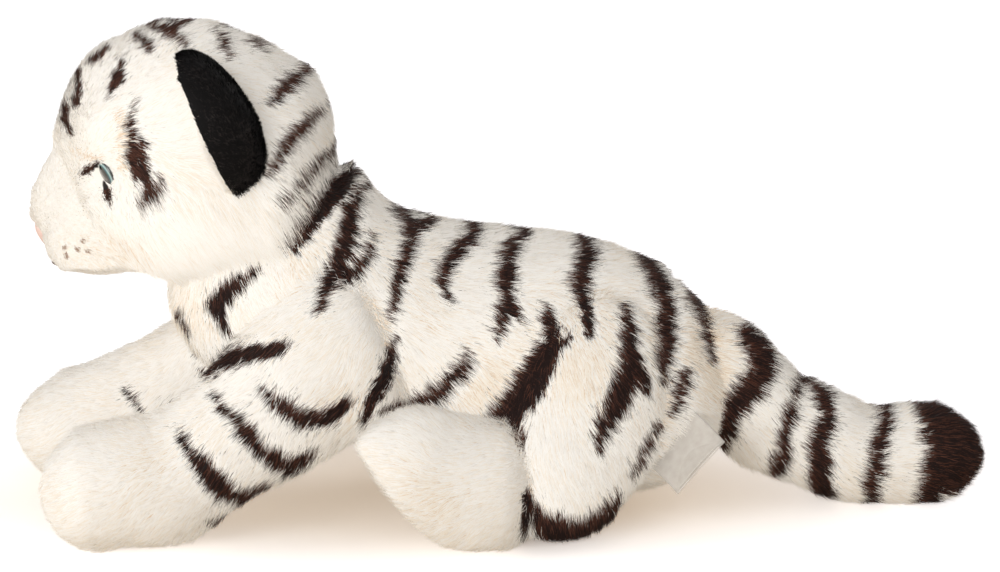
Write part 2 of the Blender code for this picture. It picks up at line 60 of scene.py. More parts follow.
camera = {"azimuth": -2.5, "elevation": 13.5, "distance": 1.35, "acrossPicture": 0.43,
          "lookAt": (0.0024, 0.0, 0.0985), "pictureSize": (1000, 572), "sensor": 36.0}


def cameraFrame():
    # Place, and the right, up and backward directions
    azimuth, elevation = math.radians(camera["azimuth"]), math.radians(camera["elevation"])
    back = np.array([math.sin(azimuth) * math.cos(elevation), -math.cos(azimuth) * math.cos(elevation),
                     math.sin(elevation)])
    place = np.array(camera["lookAt"]) + back * camera["distance"]
    right = np.cross([0.0, 0.0, 1.0], back)
    right /= np.linalg.norm(right)
    return place, right, np.cross(back, right), back


def sideView(points):
    # Where points fall in the drawing, in drawing units from its upper left corner
    place, right, up, back = cameraFrame()
    offset = points - place
    scale = camera["pictureSize"][0] * camera["distance"] / camera["acrossPicture"] / -(offset @ back)
    return np.column_stack([camera["pictureSize"][0] / 2 + (offset @ right) * scale,
                            camera["pictureSize"][1] / 2 - (offset @ up) * scale])


# Small helpers on whole arrays

def unit(vectors):
    return vectors / np.maximum(np.linalg.norm(vectors, axis=-1, keepdims=True), 1e-12)


def smoothStep(value, low, high):
    t = np.clip((value - low) / (high - low), 0, 1)
    return t * t * (3 - 2 * t)


def softMax(a, b, melt):
    # The larger of two heights, with the valley between them filled over the width melt
    gap = np.clip(0.5 + 0.5 * (a - b) / melt, 0, 1)
    return b + (a - b) * gap + melt * gap * (1 - gap)


def ripple(points, seed, size):
    # Smooth noise about -1 to 1: a sum of sine waves in random directions, with waves about size long
    dice = np.random.default_rng(seed)
    waves = unit(dice.normal(size=(9, 3))) * dice.uniform(0.6, 1.6, (9, 1)) * 2 * math.pi / size
    return np.sin(points @ waves.T + dice.uniform(0, 2 * math.pi, 9)).sum(axis=1) / 3


# Stuffed forms: elliptic sections square to a smooth path, rounded to a pole at each end.
# A row of shares is how far along x and y, how far along z, half width and half height.

torso = {"start": (0.1001, 0.0, 0.06), "end": (-0.1219, 0.0, 0.14), "width": 0.106, "height": 0.106,
         "caps": (0.125, 0.125), "swell": 0.05, "shares": [
             (0.0, -0.04, 0.6, 0.6), (0.12, -0.04, 0.8, 0.77), (0.19, -0.02, 0.92, 0.895),
             (0.36, 0.09, 1.0, 0.96), (0.55, 0.24, 0.96, 0.84), (0.72, 0.41, 0.96, 0.775),
             (0.86, 0.61, 0.82, 0.94), (0.95, 0.86, 0.66, 0.66), (1.0, 1.0, 0.54, 0.54)]}
head = {"start": (-0.0734, 0.0, 0.1595), "end": (-0.1834, 0.0, 0.1565), "width": 0.109, "height": 0.1,
        "caps": (0.25, 0.25), "swell": 0.1, "shares": [
            (0.0, 2.2, 0.77, 0.77), (0.18, 1.5, 0.88, 0.8), (0.5, -0.4, 1.0, 0.99),
            (0.76, 0.0, 0.86, 0.87), (1.0, 1.0, 0.62, 0.62)]}
nearForeleg = {"start": (-0.0575, 0.036, 0.086), "end": (-0.1885, 0.054, 0.025), "width": 0.048,
               "height": 0.046, "caps": (0.1, 0.15), "kind": "trunk", "shares": [
                   (-0.09, -0.09, 0.75, 1.0), (0.0, 0.0, 1.05, 1.48), (0.15, 0.22, 1.12, 1.42),
                   (0.31, 0.5, 1.03, 1.16), (0.5, 0.775, 0.97, 1.0), (0.63, 0.93, 1.02, 1.13),
                   (0.76, 0.955, 1.08, 1.07), (0.88, 0.985, 1.05, 1.03), (1.0, 0.98, 0.88, 0.88)]}
farForeleg = {"start": (-0.0575, 0.036, 0.086), "end": (-0.2095, 0.054, 0.024), "width": 0.048,
              "height": 0.046, "caps": (0.1, 0.16), "kind": "farForeleg", "shares": [
                  (-0.09, -0.09, 0.75, 1.0), (0.0, 0.0, 1.05, 1.48), (0.15, 0.18, 1.12, 1.42),
                  (0.3, 0.38, 1.06, 1.24), (0.46, 0.6, 1.0, 1.12), (0.6, 0.78, 1.02, 1.08),
                  (0.74, 0.93, 1.08, 1.06), (0.87, 1.0, 1.04, 1.0), (1.0, 0.98, 0.86, 0.84)]}
haunch = {"start": (0.048, 0.0355, 0.101), "end": (0.019, 0.048, 0.0045), "width": 0.046,
          "height": 0.066, "caps": (0.3, 0.16), "shares": [
              (0.0, 0.0, 0.7, 0.62), (0.14, 0.17, 0.88, 0.8), (0.31, 0.33, 0.97, 0.92),
              (0.5, 0.5, 1.02, 1.0), (0.73, 0.67, 1.1, 0.92), (0.89, 0.83, 1.06, 0.78),
              (1.0, 1.0, 0.88, 0.62)]}
hindFoot = {"start": (0.016, 0.057, 0.027), "end": (-0.057, 0.059, 0.0455), "width": 0.044,
            "height": 0.051, "caps": (0.2, 0.36), "sole": (-0.034, 0.0165), "soleFacing": (-0.749, -0.662),
            "soleMelt": 0.011, "shares": [
                (0.0, 0.0, 0.8, 0.86), (0.2, 0.0, 0.92, 0.98), (0.4, 0.03, 0.98, 1.03),
                (0.6, 0.17, 1.02, 1.04), (0.8, 0.58, 1.02, 1.0), (1.0, 1.0, 0.98, 0.94)]}
tail = {"start": (0.0735, 0.0, 0.06), "end": (0.2095, 0.0, 0.0215), "width": 0.0395, "height": 0.0395,
        "caps": (0.1, 0.12), "shares": [
            (0.0, 0.0, 1.0, 1.08), (0.14, -0.02, 1.06, 1.12), (0.24, 0.24, 1.04, 1.06),
            (0.34, 0.57, 1.0, 0.99), (0.47, 0.75, 0.97, 0.98), (0.58, 0.94, 0.94, 0.94),
            (0.68, 1.0, 0.93, 0.93), (0.84, 1.0, 0.93, 0.93), (1.0, 0.97, 0.87, 0.87)]}


def mirrored(form, side):
    # The form of a leg on that side, kept above the floor
    made = {**form, "floor": True}
    for end in ("start", "end"):
        made[end] = (form[end][0], form[end][1] * side, form[end][2])
    return made


def formRows(form):
    shares = np.array(form["shares"])
    start, end = np.array(form["start"]), np.array(form["end"])
    along = start + shares[:, :1] * (end - start)
    along[:, 2] = start[2] + shares[:, 1] * (end[2] - start[2])
    return np.column_stack([along, shares[:, 2] * form["width"] / 2, shares[:, 3] * form["height"] / 2])


def pathAt(form, u):
    # Centre, directions along, across and up, and the half sizes at u from 0 to 1:
    # a Catmull-Rom curve through the rows, with each end rounded as a quarter circle
    rows = formRows(form)
    capA, capB = form["caps"]
    pace = (capA + capB) * (math.pi / 2 - 1) + 1
    endA, endB = capA * math.pi / 2 / pace, capB * math.pi / 2 / pace
    turnA = np.clip(u / endA, 0, 1) * math.pi / 2
    turnB = np.clip((1 - u) / endB, 0, 1) * math.pi / 2
    spot = np.where(u < endA, capA * (1 - np.cos(turnA)),
                    np.where(u > 1 - endB, 1 - capB * (1 - np.cos(turnB)), capA + (u - endA) * pace))
    rounding = np.where(u < endA, np.sin(turnA), np.where(u > 1 - endB, np.sin(turnB), 1.0))
    padded = np.vstack([2 * rows[0] - rows[1], rows, 2 * rows[-1] - rows[-2]])
    place = np.clip(spot, 0, 1) * (len(rows) - 1)
    first = np.minimum(place.astype(int), len(rows) - 2)
    t = (place - first)[:, None]
    a, b, c, d = (padded[first + k] for k in range(4))
    bend, twist = 2 * a - 5 * b + 4 * c - d, 3 * b - a - 3 * c + d
    value = (2 * b + (c - a) * t + bend * t**2 + twist * t**3) / 2
    slope = unit((((c - a) + 2 * bend * t + 3 * twist * t**2) / 2)[:, :3])
    across = unit(np.array([0.0, 1.0, 0.0]) - slope * slope[:, 1:2])
    up = np.cross(across, slope)
    return value[:, :3], slope, across, up, value[:, 3] * rounding, value[:, 4] * rounding


def formSurface(form, u, v):
    # A point of the form at u along its path and at the angle v about it
    centre, slope, across, up, wide, high = pathAt(form, u)
    out = np.sin(v) * (1 - form.get("swell", 0.0) * np.cos(v))
    return centre + across * (wide * out)[:, None] + up * (high * np.cos(v))[:, None]


def howDeep(form, points):
    # 1 on the form's surface, 0 on its path, more outside: the ellipse at the nearest point of the path
    centre, slope, across, up, wide, high = pathAt(form, np.linspace(0.004, 0.996, 80))
    depth = np.full(len(points), 9.0)
    reach = max(form["width"], form["height"])
    lowest, highest = centre.min(axis=0) - reach, centre.max(axis=0) + reach
    near = np.flatnonzero(((points > lowest) & (points < highest)).all(axis=1))
    for part in np.array_split(near, max(1, len(near) // 20000)):
        offset = points[part][:, None] - centre
        k = np.argmin((offset**2).sum(axis=2), axis=1)
        gap = points[part] - centre[k]
        along = np.abs((gap * slope[k]).sum(axis=1)) / reach * 2
        sideways = (gap * across[k]).sum(axis=1) / np.maximum(wide[k], 1e-5)
        upwards = (gap * up[k]).sum(axis=1) / np.maximum(high[k], 1e-5)
        depth[part] = np.sqrt(sideways**2 + upwards**2 + along**2)
    return depth


# The head: the stuffed ball, pushed forward into a muzzle, pressed in at the eyes and turned on its neck

face = {"centre": (-0.1284, 0.0, 0.1595), "neck": (-0.1019, 0.0), "turn": math.radians(-8),
        "padAcross": 0.0105, "padDrop": 0.037, "padWidth": 0.02, "padHeight": 0.0165, "padReach": 0.0605,
        "padRoot": 0.026, "snoutDrop": 0.0265, "snoutWidth": 0.039, "snoutHeight": 0.032, "snoutReach": 0.065,
        "snoutRoot": 0.01, "snoutMelt": 0.016, "ridgeRoot": 0.03, "ridgeFall": 0.85, "ridgeFoot": 0.0105,
        # the ridge of the nose: rise, how far forward, half width
        "ridge": [(-0.029, 0.0694, 0.026), (-0.0205, 0.0688, 0.027), (-0.01, 0.0636, 0.0275),
                  (-0.003, 0.0584, 0.027), (0.004, 0.0548, 0.0265), (0.012, 0.049, 0.0255)],
        "chinDrop": 0.05, "chinWidth": 0.017, "chinHeight": 0.0085, "chinReach": 0.0485, "chinRoot": 0.026,
        "jawDrop": 0.005, "melt": 0.0065, "frontMelt": 0.0085,
        # soft bumps and hollows of the ball: forward, aside, rise, how wide, how high
        "bumps": [(0.031, 0.043, 0.015, 0.24, 0.0036), (0.031, 0.045, -0.005, 0.16, -0.003),
                  (0.03, 0.036, -0.028, 0.36, 0.0022), (-0.012, 0.05, -0.028, 0.42, 0.003)]}


def turnHead(points, back=False):
    angle = -face["turn"] if back else face["turn"]
    x, y = points[..., 0] - face["neck"][0], points[..., 1] - face["neck"][1]
    return np.stack([face["neck"][0] + x * math.cos(angle) - y * math.sin(angle),
                     face["neck"][1] + x * math.sin(angle) + y * math.cos(angle), points[..., 2]], axis=-1)

def turnDirection(direction, back=False):
    neck = np.array([*face["neck"], 0])
    return turnHead(direction + neck, back) - neck
def faceAxes(points):
    # Forward, aside and rise from the middle of the head, as if it were not turned
    straight = turnHead(points, back=True) - np.array(face["centre"])
    return -straight[:, 0], straight[:, 1], straight[:, 2]


def dome(reach, root, across, upward, fall=0.5):
    # A rounded front: reach at its middle, root at its edge, and falling steeply outside; a greater fall is narrower
    q = across**2 + upward**2
    return np.where(q < 1, root + (reach - root) * np.maximum(1 - q, 0) ** fall, root - 0.02 * (q - 1))


def headSurface(form, u, v):
    # The ball moved along its radius by bell-shaped bumps, then pushed forward to the fronts of the
    # muzzle, the ridge of the nose and the chin, and turned on its neck
    offset = formSurface(form, u, v) - np.array(face["centre"])
    away = unit(offset)
    for ahead, aside, rise, wide, high in face["bumps"]:
        middle = unit(np.array([-ahead, aside, rise]))
        gap = np.minimum(np.linalg.norm(away - middle, axis=1),
                         np.linalg.norm(away - middle * np.array([1, -1, 1]), axis=1))
        offset = offset + away * (high * np.exp(-((gap / wide) ** 2)))[:, None]
    forward, side, rise = -offset[:, 0], offset[:, 1], offset[:, 2]
    melt = face["melt"]
    def bulge(name, aside):
        return dome(face[name + "Reach"], face[name + "Root"], aside / face[name + "Width"],
                    (rise + face[name + "Drop"]) / face[name + "Height"])

    pads, chin, snout = bulge("pad", np.abs(side) - face["padAcross"]), bulge("chin", side), bulge("snout", side)
    heights, reaches, widths = np.array(face["ridge"]).T
    ridge = dome(np.interp(rise, heights, reaches), face["ridgeRoot"], side / np.interp(rise, heights, widths),
                 np.minimum(rise - heights[0], 0) / face["ridgeFoot"], face["ridgeFall"])
    ridge = ridge - np.maximum(rise - heights[-1], 0) * 0.9
    ball = softMax(forward, snout, face["snoutMelt"])
    front = softMax(softMax(pads, ridge, melt), chin, melt)
    ahead = np.where(forward > 0, softMax(ball, front, face["frontMelt"]), forward)
    ahead = forward + (ahead - forward) * smoothStep(forward, 0.0, 0.012)
    rise = rise - face["jawDrop"] * smoothStep(ahead, 0.015, 0.045) * smoothStep(-rise, 0.025, 0.045)
    return turnHead(np.column_stack([-ahead, side, rise]) + np.array(face["centre"]))


def headDepth(form, points):
    return howDeep(form, turnHead(points, back=True))


head["surface"], head["depth"] = headSurface, headDepth


def surfaceAt(form, u, v):
    points = form.get("surface", formSurface)(form, u, v)
    if "sole" in form:  # what lies beyond the sole's plane is pressed back to it
        facing = np.array(form["soleFacing"])
        beyond = (points[:, [0, 2]] - np.array(form["sole"])) @ facing
        points[:, [0, 2]] -= np.outer(softMax(beyond, 0 * beyond, form["soleMelt"]), facing)
    if form.get("floor", False):
        points[:, 2] = np.maximum(points[:, 2], 0.0003)
    return points


def depthIn(form, points):
    return form.get("depth", howDeep)(form, points)


def framesAt(form, u, v):
    # Points with their outward directions, from small steps along and about the form
    step = 2e-3
    points = surfaceAt(form, u, v)
    alongU = surfaceAt(form, np.minimum(u + step, 1), v) - surfaceAt(form, np.maximum(u - step, 0), v)
    aboutV = surfaceAt(form, u, v + step * 3) - surfaceAt(form, u, v - step * 3)
    return points, unit(np.cross(aboutV, alongU)) * outwardSign(form)


def outwardSign(form):
    # 1 where u and v turn about an outward normal, -1 on a mirrored form, by the sign of its volume
    if "sign" not in form:
        u, v = np.meshgrid(np.linspace(0.02, 0.98, 30), np.linspace(0, 2 * math.pi, 41), indexing="ij")
        grid = surfaceAt(form, u.ravel(), v.ravel()).reshape(30, 41, 3)
        grid = grid - grid[:, :-1].mean(axis=(0, 1))
        across = np.cross(grid[:-1, 1:] - grid[:-1, :-1], grid[1:, :-1] - grid[:-1, :-1])
        form["sign"] = 1.0 if (across * grid[:-1, :-1]).sum() > 0 else -1.0
    return form["sign"]


# Colours of the coat: each strand of fur takes one numbered shade, by where it lies on its UV map, and
# the colour runs from the root to the tip. A span is its first number and the one after its last.

# The greyish shades are painted shadow between the tufts, the tan ones painted shade in folds and along the brow's
# crease, and the warm ones partly painted shade
shadeCount = 32
shades = {"white": (0, 7), "shadowGrey": (7, 9), "warm": (9, 12), "tan": (12, 14), "dark": (14, 20), "brown": (20, 23),
          "darkTip": (23, 25), "brownTip": (25, 26), "whiteTip": (26, 28), "spot": (28, 29), "black": (29, 32)}


def feed(tree, node, inputs):
    # Each input takes the output that feeds it, or else its value
    for socket, value in inputs.items():
        if isinstance(value, bpy.types.NodeSocket):
            tree.links.new(value, node.inputs[socket])
        else:
            node.inputs[socket].default_value = value


def simpleMaterial(name, colour, roughness, more={}):
    made = bpy.data.materials.new(name)
    made.use_nodes = True
    shader = made.node_tree.nodes["Principled BSDF"]
    feed(made.node_tree, shader, {"Base Color": (*colour, 1), "Roughness": roughness, **more})
    return made, made.node_tree, shader


def nodeAt(tree, kind, x, y, inputs={}, **settings):
    made = tree.nodes.new("ShaderNode" + kind)
    made.location = (x, y)
    for key, value in settings.items():
        setattr(made, key, value)
    feed(tree, made, inputs)
    return made


def rampOf(tree, source, stops, x, y, interpolation="LINEAR"):
    ramp = nodeAt(tree, "ValToRGB", x, y, {0: source})
    ramp.color_ramp.interpolation = interpolation
    while len(ramp.color_ramp.elements) < len(stops):
        ramp.color_ramp.elements.new(1.0)
    for element, (place, colour) in zip(ramp.color_ramp.elements, stops):
        element.position = place
        element.color = (*colour, 1)
    return ramp.outputs[0]


def mixOf(tree, factor, first, second, x, y, blend="MIX"):
    # Two colours mixed: sockets 6 and 7 take them and output 2 gives the mix
    return nodeAt(tree, "Mix", x, y, {"Factor": factor, 6: first, 7: second}, data_type="RGBA",
                  blend_type=blend).outputs[2]


def colourAndBump(tree, shader, source, stops, height, strength, distance):
    # The colour from a ramp over one source, and the relief from another
    bump = nodeAt(tree, "Bump", -300, -260, {"Height": height, "Strength": strength, "Distance": distance})
    feed(tree, shader, {"Base Color": rampOf(tree, source, stops, -500, 100), "Normal": bump.outputs[0]})


def shadeColours():
    # For each shade the colours of a strand's root and tip, varied a little from shade to shade
    base = {"white": (0.975, 0.96, 0.93), "shadowGrey": (0.8, 0.775, 0.745), "warm": (0.93, 0.87, 0.78),
            "tan": (0.8, 0.66, 0.51), "dark": (0.0125, 0.0055, 0.0045), "brown": (0.085, 0.034, 0.023),
            "spot": (0.36, 0.25, 0.19), "black": (0.0055, 0.005, 0.0055)}
    ends = {"darkTip": ("white", "dark"), "brownTip": ("white", "brown"), "whiteTip": ("dark", "white"),
            "shadowGrey": ("shadowGrey", "white")}
    dice = np.random.default_rng(7)
    roots, tips = [], []
    for name, span in shades.items():
        for k in range(*span):
            root, tip = (np.array(base[part]) for part in ends.get(name, (name, name)))
            vary = np.array([1.0, 1.4, 1.9]) * dice.uniform(-1, 1)  # most in blue
            for colour, table in ((root, roots), (tip, tips)):
                amount = 0.022 if colour[0] > 0.5 else 0.25
                table.append(tuple(np.clip(colour * (1 + vary * amount), 0.002, 0.99)))
    return roots, tips


def furMaterial():
    made, tree, shader = simpleMaterial("plushFur", (0.9, 0.87, 0.83), 0.68, {"Specular IOR Level": 0.12})
    strand = nodeAt(tree, "UVMap", -900, 0, uv_map="OFBake")
    parts = nodeAt(tree, "SeparateXYZ", -720, 0, {0: strand.outputs["UV"]}).outputs
    root, tip = [rampOf(tree, parts["X"], [(k / shadeCount, colour) for k, colour in enumerate(colours)],
                        -540, 400 - 240 * end, "CONSTANT") for end, colours in enumerate(shadeColours())]
    turnover = rampOf(tree, parts["Y"], [(0.3, (0, 0, 0)), (0.68, (1, 1, 1))], -540, -380)
    # painted shade: every strand is darker towards its root, as if shaded deep in the pile
    depth = rampOf(tree, parts["Y"], [(0.0, (0.8, 0.76, 0.7)), (0.45, (0.965, 0.955, 0.945)), (1.0, (1, 1, 1))],
                   -540, -140)
    both = mixOf(tree, turnover, root, tip, -260, 260)
    feed(tree, shader, {"Base Color": mixOf(tree, 1.0, both, depth, -260, 60, "MULTIPLY")})
    return made


def backedMaterial(name, colour, roughness, more, texture, output, scale, stops, strength, distance):
    # Dyed by the mesh's own pattern, with the relief of a fine texture
    made, tree, shader = simpleMaterial(name, colour, roughness, more)
    pattern = nodeAt(tree, "Attribute", -900, 0, attribute_name="stripe").outputs["Fac"]
    where = nodeAt(tree, "TexCoord", -900, -260).outputs["Object"]
    relief = nodeAt(tree, texture, -700, -260, {"Vector": where, "Scale": scale}).outputs[output]
    colourAndBump(tree, shader, pattern, stops, relief, strength, distance)
    return made


fur = furMaterial()
backing = backedMaterial("plushBacking", (0.85, 0.82, 0.77), 0.9, {}, "TexVoronoi", "Distance", 900.0,
                         [(0.25, (0.93, 0.9, 0.86)), (0.7, (0.012, 0.008, 0.007))], 0.15, 0.0004)


# The coat's pattern, drawn from the picture's viewpoint: each stripe is a line of points
# with the half width of the stripe there, and the far side is the mirror of the near one

headStripes = [
    [(78, 71, 3.5), (80, 86, 5.5), (76, 103, 3.5)], [(66, 102, 3.5), (66, 118, 5), (71, 133, 3.5)],
    [(92, 60, 3.5), (101, 54, 5), (110, 46, 3.5)], [(124, 59, 3.5), (120, 74, 6.5), (113, 91, 4)],
    [(138, 35, 3.5), (147, 44, 5.5), (154, 51, 2.5)], [(148, 22, 4), (166, 28, 7.5), (180, 38, 5.5), (190, 47, 3.5)],
    [(190, 20, 3.5), (176, 28, 5.5), (168, 32, 5)], [(219, 31, 4), (226, 42, 5.5), (231, 58, 3.5)],
    [(254, 40, 3.5), (262, 46, 4), (268, 52, 2.5)],
    [(312, 66, 5), (296, 78, 7.5), (283, 92, 7.5), (272, 104, 4)],
    [(322, 112, 4), (304, 128, 7.5), (288, 148, 8), (270, 176, 4)],
    [(138, 98, 1.5), (133, 112, 3), (131, 126, 3.5), (133, 142, 5.5), (134, 158, 6.5), (137, 172, 6), (139, 184, 3)],
    [(137, 130, 2.5), (144, 143, 5.5), (142, 157, 6), (144, 171, 7), (149, 185, 6.5),
     (147, 200, 6.5), (142, 209, 3.5)],
    [(162, 179, 3), (162, 190, 6), (157, 199, 7), (147, 203, 5)],
]
neckStripes = [
    [(341, 149, 5), (322, 162, 6), (304, 184, 6), (284, 207, 3)],
    [(358, 170, 8), (338, 190, 11), (318, 216, 11), (294, 250, 6)],
]
faceMarks = [[(82, 174, 2), (89, 170, 4), (97, 165, 3)], [(104, 183, 3), (108, 193, 4.5), (111, 205, 2)]]
# painted shade: tan lines along the brow's crease and over the eye, x, y and half width
creaseShadeLines = [[(122, 112, 3), (128, 138, 5), (126, 168, 4)], [(74, 150, 1), (88, 156, 2), (100, 158, 2)]]
# painted shade, warm and tan, in the folds and over the shaded rump: x, y, radius and strength
foldShadeSpots = [(486, 382, 34, 0.9), (346, 396, 22, 0.7), (420, 300, 26, 0.3), (196, 302, 26, 0.7),
             (704, 372, 28, 0.9), (118, 236, 22, 0.5), (128, 506, 20, 0.2), (590, 352, 60, 0.5),
             (694, 346, 36, 1.0), (646, 330, 40, 0.4), (300, 262, 24, 0.5), (440, 500, 26, 0.5), (150, 470, 22, 0.3)]
whiskerSpots = [(84, 241), (65, 248), (67, 257), (90, 252), (78, 250)]
trunkStripes = [
    [(366, 188, 6), (352, 212, 9.5), (347, 244, 10.5), (336, 272, 10.5), (317, 310, 5.5)],
    [(374, 236, 4.5), (370, 258, 7), (357, 274, 8), (340, 284, 6)],
    [(400, 207, 7), (410, 224, 9), (413, 240, 9.5), (402, 270, 8), (396, 300, 6), (393, 322, 3.5)],
    [(436, 218, 5.5), (424, 228, 7), (412, 240, 6)],
    [(397, 336, 3.5), (390, 362, 7), (378, 392, 8), (362, 424, 4.5)],
    [(256, 270, 4.5), (236, 288, 9.5), (216, 306, 11.5), (226, 334, 4.5)],
    [(176, 316, 4.5), (183, 336, 6), (188, 352, 3.5)],
    [(206, 376, 4.5), (224, 362, 9), (250, 354, 9.5), (272, 352, 9), (286, 347, 4.5)],
    [(259, 388, 3.5), (276, 404, 9), (300, 420, 10.5), (326, 418, 10.5), (348, 402, 4.5)],
    [(212, 396, 3.5), (230, 416, 7), (256, 448, 9), (284, 468, 10.5), (311, 456, 4.5)],
    [(178, 431, 3.5), (196, 462, 9), (222, 492, 11.5), (244, 500, 9), (263, 486, 4.5)],
    [(470, 352, 4), (460, 374, 9), (443, 393, 9.5), (418, 404, 7.5), (396, 409, 5.5), (378, 413, 3.5)],
    [(482, 218, 7), (472, 240, 9.5), (448, 262, 9), (442, 280, 8), (449, 300, 4.5)],
    [(526, 236, 6), (511, 252, 9), (509, 276, 10.5), (508, 304, 9.5), (497, 338, 5.5)],
    [(528, 322, 2.5), (518, 314, 5.5), (510, 306, 6)],
    [(584, 234, 7), (588, 256, 10.5), (581, 286, 10.5), (586, 312, 8), (591, 336, 4.5)],
    [(644, 256, 7), (660, 280, 10.5), (668, 308, 11.5), (668, 344, 9.5), (662, 384, 4.5)],
    [(688, 290, 5.5), (704, 312, 8), (712, 340, 7), (714, 364, 3.5)],
    [(548, 311, 5.5), (552, 336, 10.5), (543, 362, 15), (528, 388, 17.5), (510, 412, 17.5), (490, 428, 8)],
    [(569, 338, 3.5), (556, 350, 6), (548, 358, 8)], [(512, 416, 10.5), (518, 438, 9), (519, 460, 4.5)],
    [(627, 309, 5.5), (630, 336, 10.5), (632, 362, 13), (624, 390, 14), (608, 424, 13), (600, 452, 5.5)],
    [(632, 364, 7), (642, 378, 8), (648, 396, 4.5)],
    [(687, 372, 7), (683, 388, 8), (675, 412, 4.5)],
    [(658, 426, 3.5), (648, 448, 4.5), (634, 476, 3.5)],
    [(514, 464, 4), (522, 492, 8), (536, 520, 12), (558, 535, 15), (584, 535, 14), (606, 520, 11), (619, 500, 5)],
]
pawMarks = [[(206, 525, 2.5), (217, 525, 3.5), (228, 519, 2.5)]]
farPawMarks = [[(123, 391, 2.5), (132, 399, 4), (140, 413, 3)]]
footStripes = [[(528, 494, 5), (526, 516, 6), (522, 538, 4)]]
tailStripes = [
    [(748, 334, 11), (760, 350, 14), (766, 370, 15), (752, 390, 15), (737, 406, 14), (727, 428, 12), (722, 448, 9)],
    [(802, 380, 5), (794, 406, 6.5), (786, 434, 8.5), (780, 472, 10)],
    [(812, 382, 6.5), (826, 398, 9), (829, 418, 9.5), (822, 442, 12), (821, 468, 13), (825, 496, 12)],
    [(890, 402, 9), (886, 424, 9), (880, 446, 9), (876, 474, 10), (872, 502, 10)],
    [(924, 398, 12), (936, 424, 14), (940, 450, 14.5), (936, 476, 14), (930, 500, 13)],
    [(952, 398, 18.5), (962, 424, 19.5), (966, 450, 20), (960, 480, 18.5)],
]
trunkMarks = trunkStripes + neckStripes + pawMarks
farReach = {"from": -0.0575, "over": 0.152, "by": 0.012}  # how the far foreleg's stripes are drawn out along it
def drawnDarkness(spots, stripes, ragged, seed):
    # How far inside the nearest stripe a spot lies, in drawing units, with a ragged edge
    best = np.full(len(spots), -99.0)
    for line in stripes:
        line = np.array(line, float)
        for a, b in zip(line[:-1], line[1:]):
            low, high = np.minimum(a, b)[:2] - 30, np.maximum(a, b)[:2] + 30
            near = np.flatnonzero(((spots > low) & (spots < high)).all(axis=1))
            reach = b[:2] - a[:2]
            t = np.clip(((spots[near] - a[:2]) @ reach) / (reach @ reach), 0, 1)
            gap = np.linalg.norm(spots[near] - a[:2] - t[:, None] * reach, axis=1)
            best[near] = np.maximum(best[near], a[2] + (b[2] - a[2]) * t - gap)
    flat = np.column_stack([spots, spots[:, 0] * 0])
    return best + ragged * (ripple(flat, seed, 14.0) + 0.6 * ripple(flat, seed + 40, 5.5))
def nearSide(points):
    # What lies on the far side, mirrored to the near one
    return np.column_stack([points[:, 0], -np.abs(points[:, 1]), points[:, 2]])


def faceView(points):
    # Where points of the head fall in the drawing, the far half mirrored to the near one
    return sideView(turnHead(nearSide(turnHead(points, back=True))))


def patternOf(kind, points):
    # Darkness of the coat at points, in drawing units inside a stripe, for the form of that kind
    if kind == "head":
        spots = faceView(points)
        return np.maximum(drawnDarkness(spots, headStripes + neckStripes, 1.8, 3),
                          drawnDarkness(spots, faceMarks, 0.6, 8))
    near = nearSide(points)
    if kind == "farForeleg":
        near[:, 0] += farReach["by"] * np.clip((farReach["from"] - near[:, 0]) / farReach["over"], 0, 1)
        return np.maximum(drawnDarkness(sideView(near), trunkMarks, 2.2, 4),
                          drawnDarkness(sideView(points), farPawMarks, 0.8, 4))
    if kind == "tail":
        return drawnDarkness(sideView(near), tailStripes, 2.0, 5)
    if kind == "hindFoot":
        return drawnDarkness(sideView(near), footStripes, 1.0, 6)
    aside = np.abs(points[:, 1])
    belly = smoothStep(0.072 - points[:, 2], 0, 0.01) * (1 - smoothStep(aside, 0.018, 0.034))
    throat = smoothStep(-points[:, 0], 0.095, 0.11) * (1 - smoothStep(aside, 0.007, 0.017))
    return drawnDarkness(sideView(near), trunkMarks, 2.2, 4) - 16 * np.maximum(belly, throat)  # these stay white


# Meshes, and what each piece rides on, is made of and stands for

def addObject(name, data):
    made = bpy.data.objects.new(name, data)
    bpy.context.scene.collection.objects.link(made)
    return made


def meshObject(name, points, corners, sizes, material):
    # Smooth faces: corners lists the points round each face in turn, and sizes how many each face has
    mesh = bpy.data.meshes.new(name)
    mesh.vertices.add(len(points))
    mesh.vertices.foreach_set("co", points.astype(np.float32).ravel())
    mesh.loops.add(len(corners))
    mesh.loops.foreach_set("vertex_index", corners.astype(np.int32))
    mesh.polygons.add(len(sizes))
    mesh.polygons.foreach_set("loop_start", (np.cumsum(sizes) - sizes).astype(np.int32))
    mesh.polygons.foreach_set("use_smooth", np.ones(len(sizes), bool))
    mesh.update(calc_edges=True)
    mesh.materials.append(material)
    return addObject(name, mesh)


def addUv(made, name, places, corners):
    made.data.uv_layers.new(name=name).data.foreach_set("uv", places[corners].astype(np.float32).ravel())


def addAttribute(made, name, kind, key, values):
    made.data.attributes.new(name, kind, "POINT").data.foreach_set(key, values.astype(np.float32).ravel())


def attach(made, body, slot, *nodes):
    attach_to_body(made, body)
    if nodes:
        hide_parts(*nodes)


# Skins: the backing of each form, a grid about its path closed at both poles

stuffed = {"fill": 0.85, "inset": 0.0006}


def closedGrid(rows, columns):
    # u and v over rows of columns points, with one more point at each pole
    u = np.concatenate([[0.0], np.repeat(np.linspace(0, 1, rows + 2)[1:-1], columns), [1.0]])
    return u, np.concatenate([[0.0], np.tile(np.arange(columns) * 2 * math.pi / columns, rows), [0.0]])


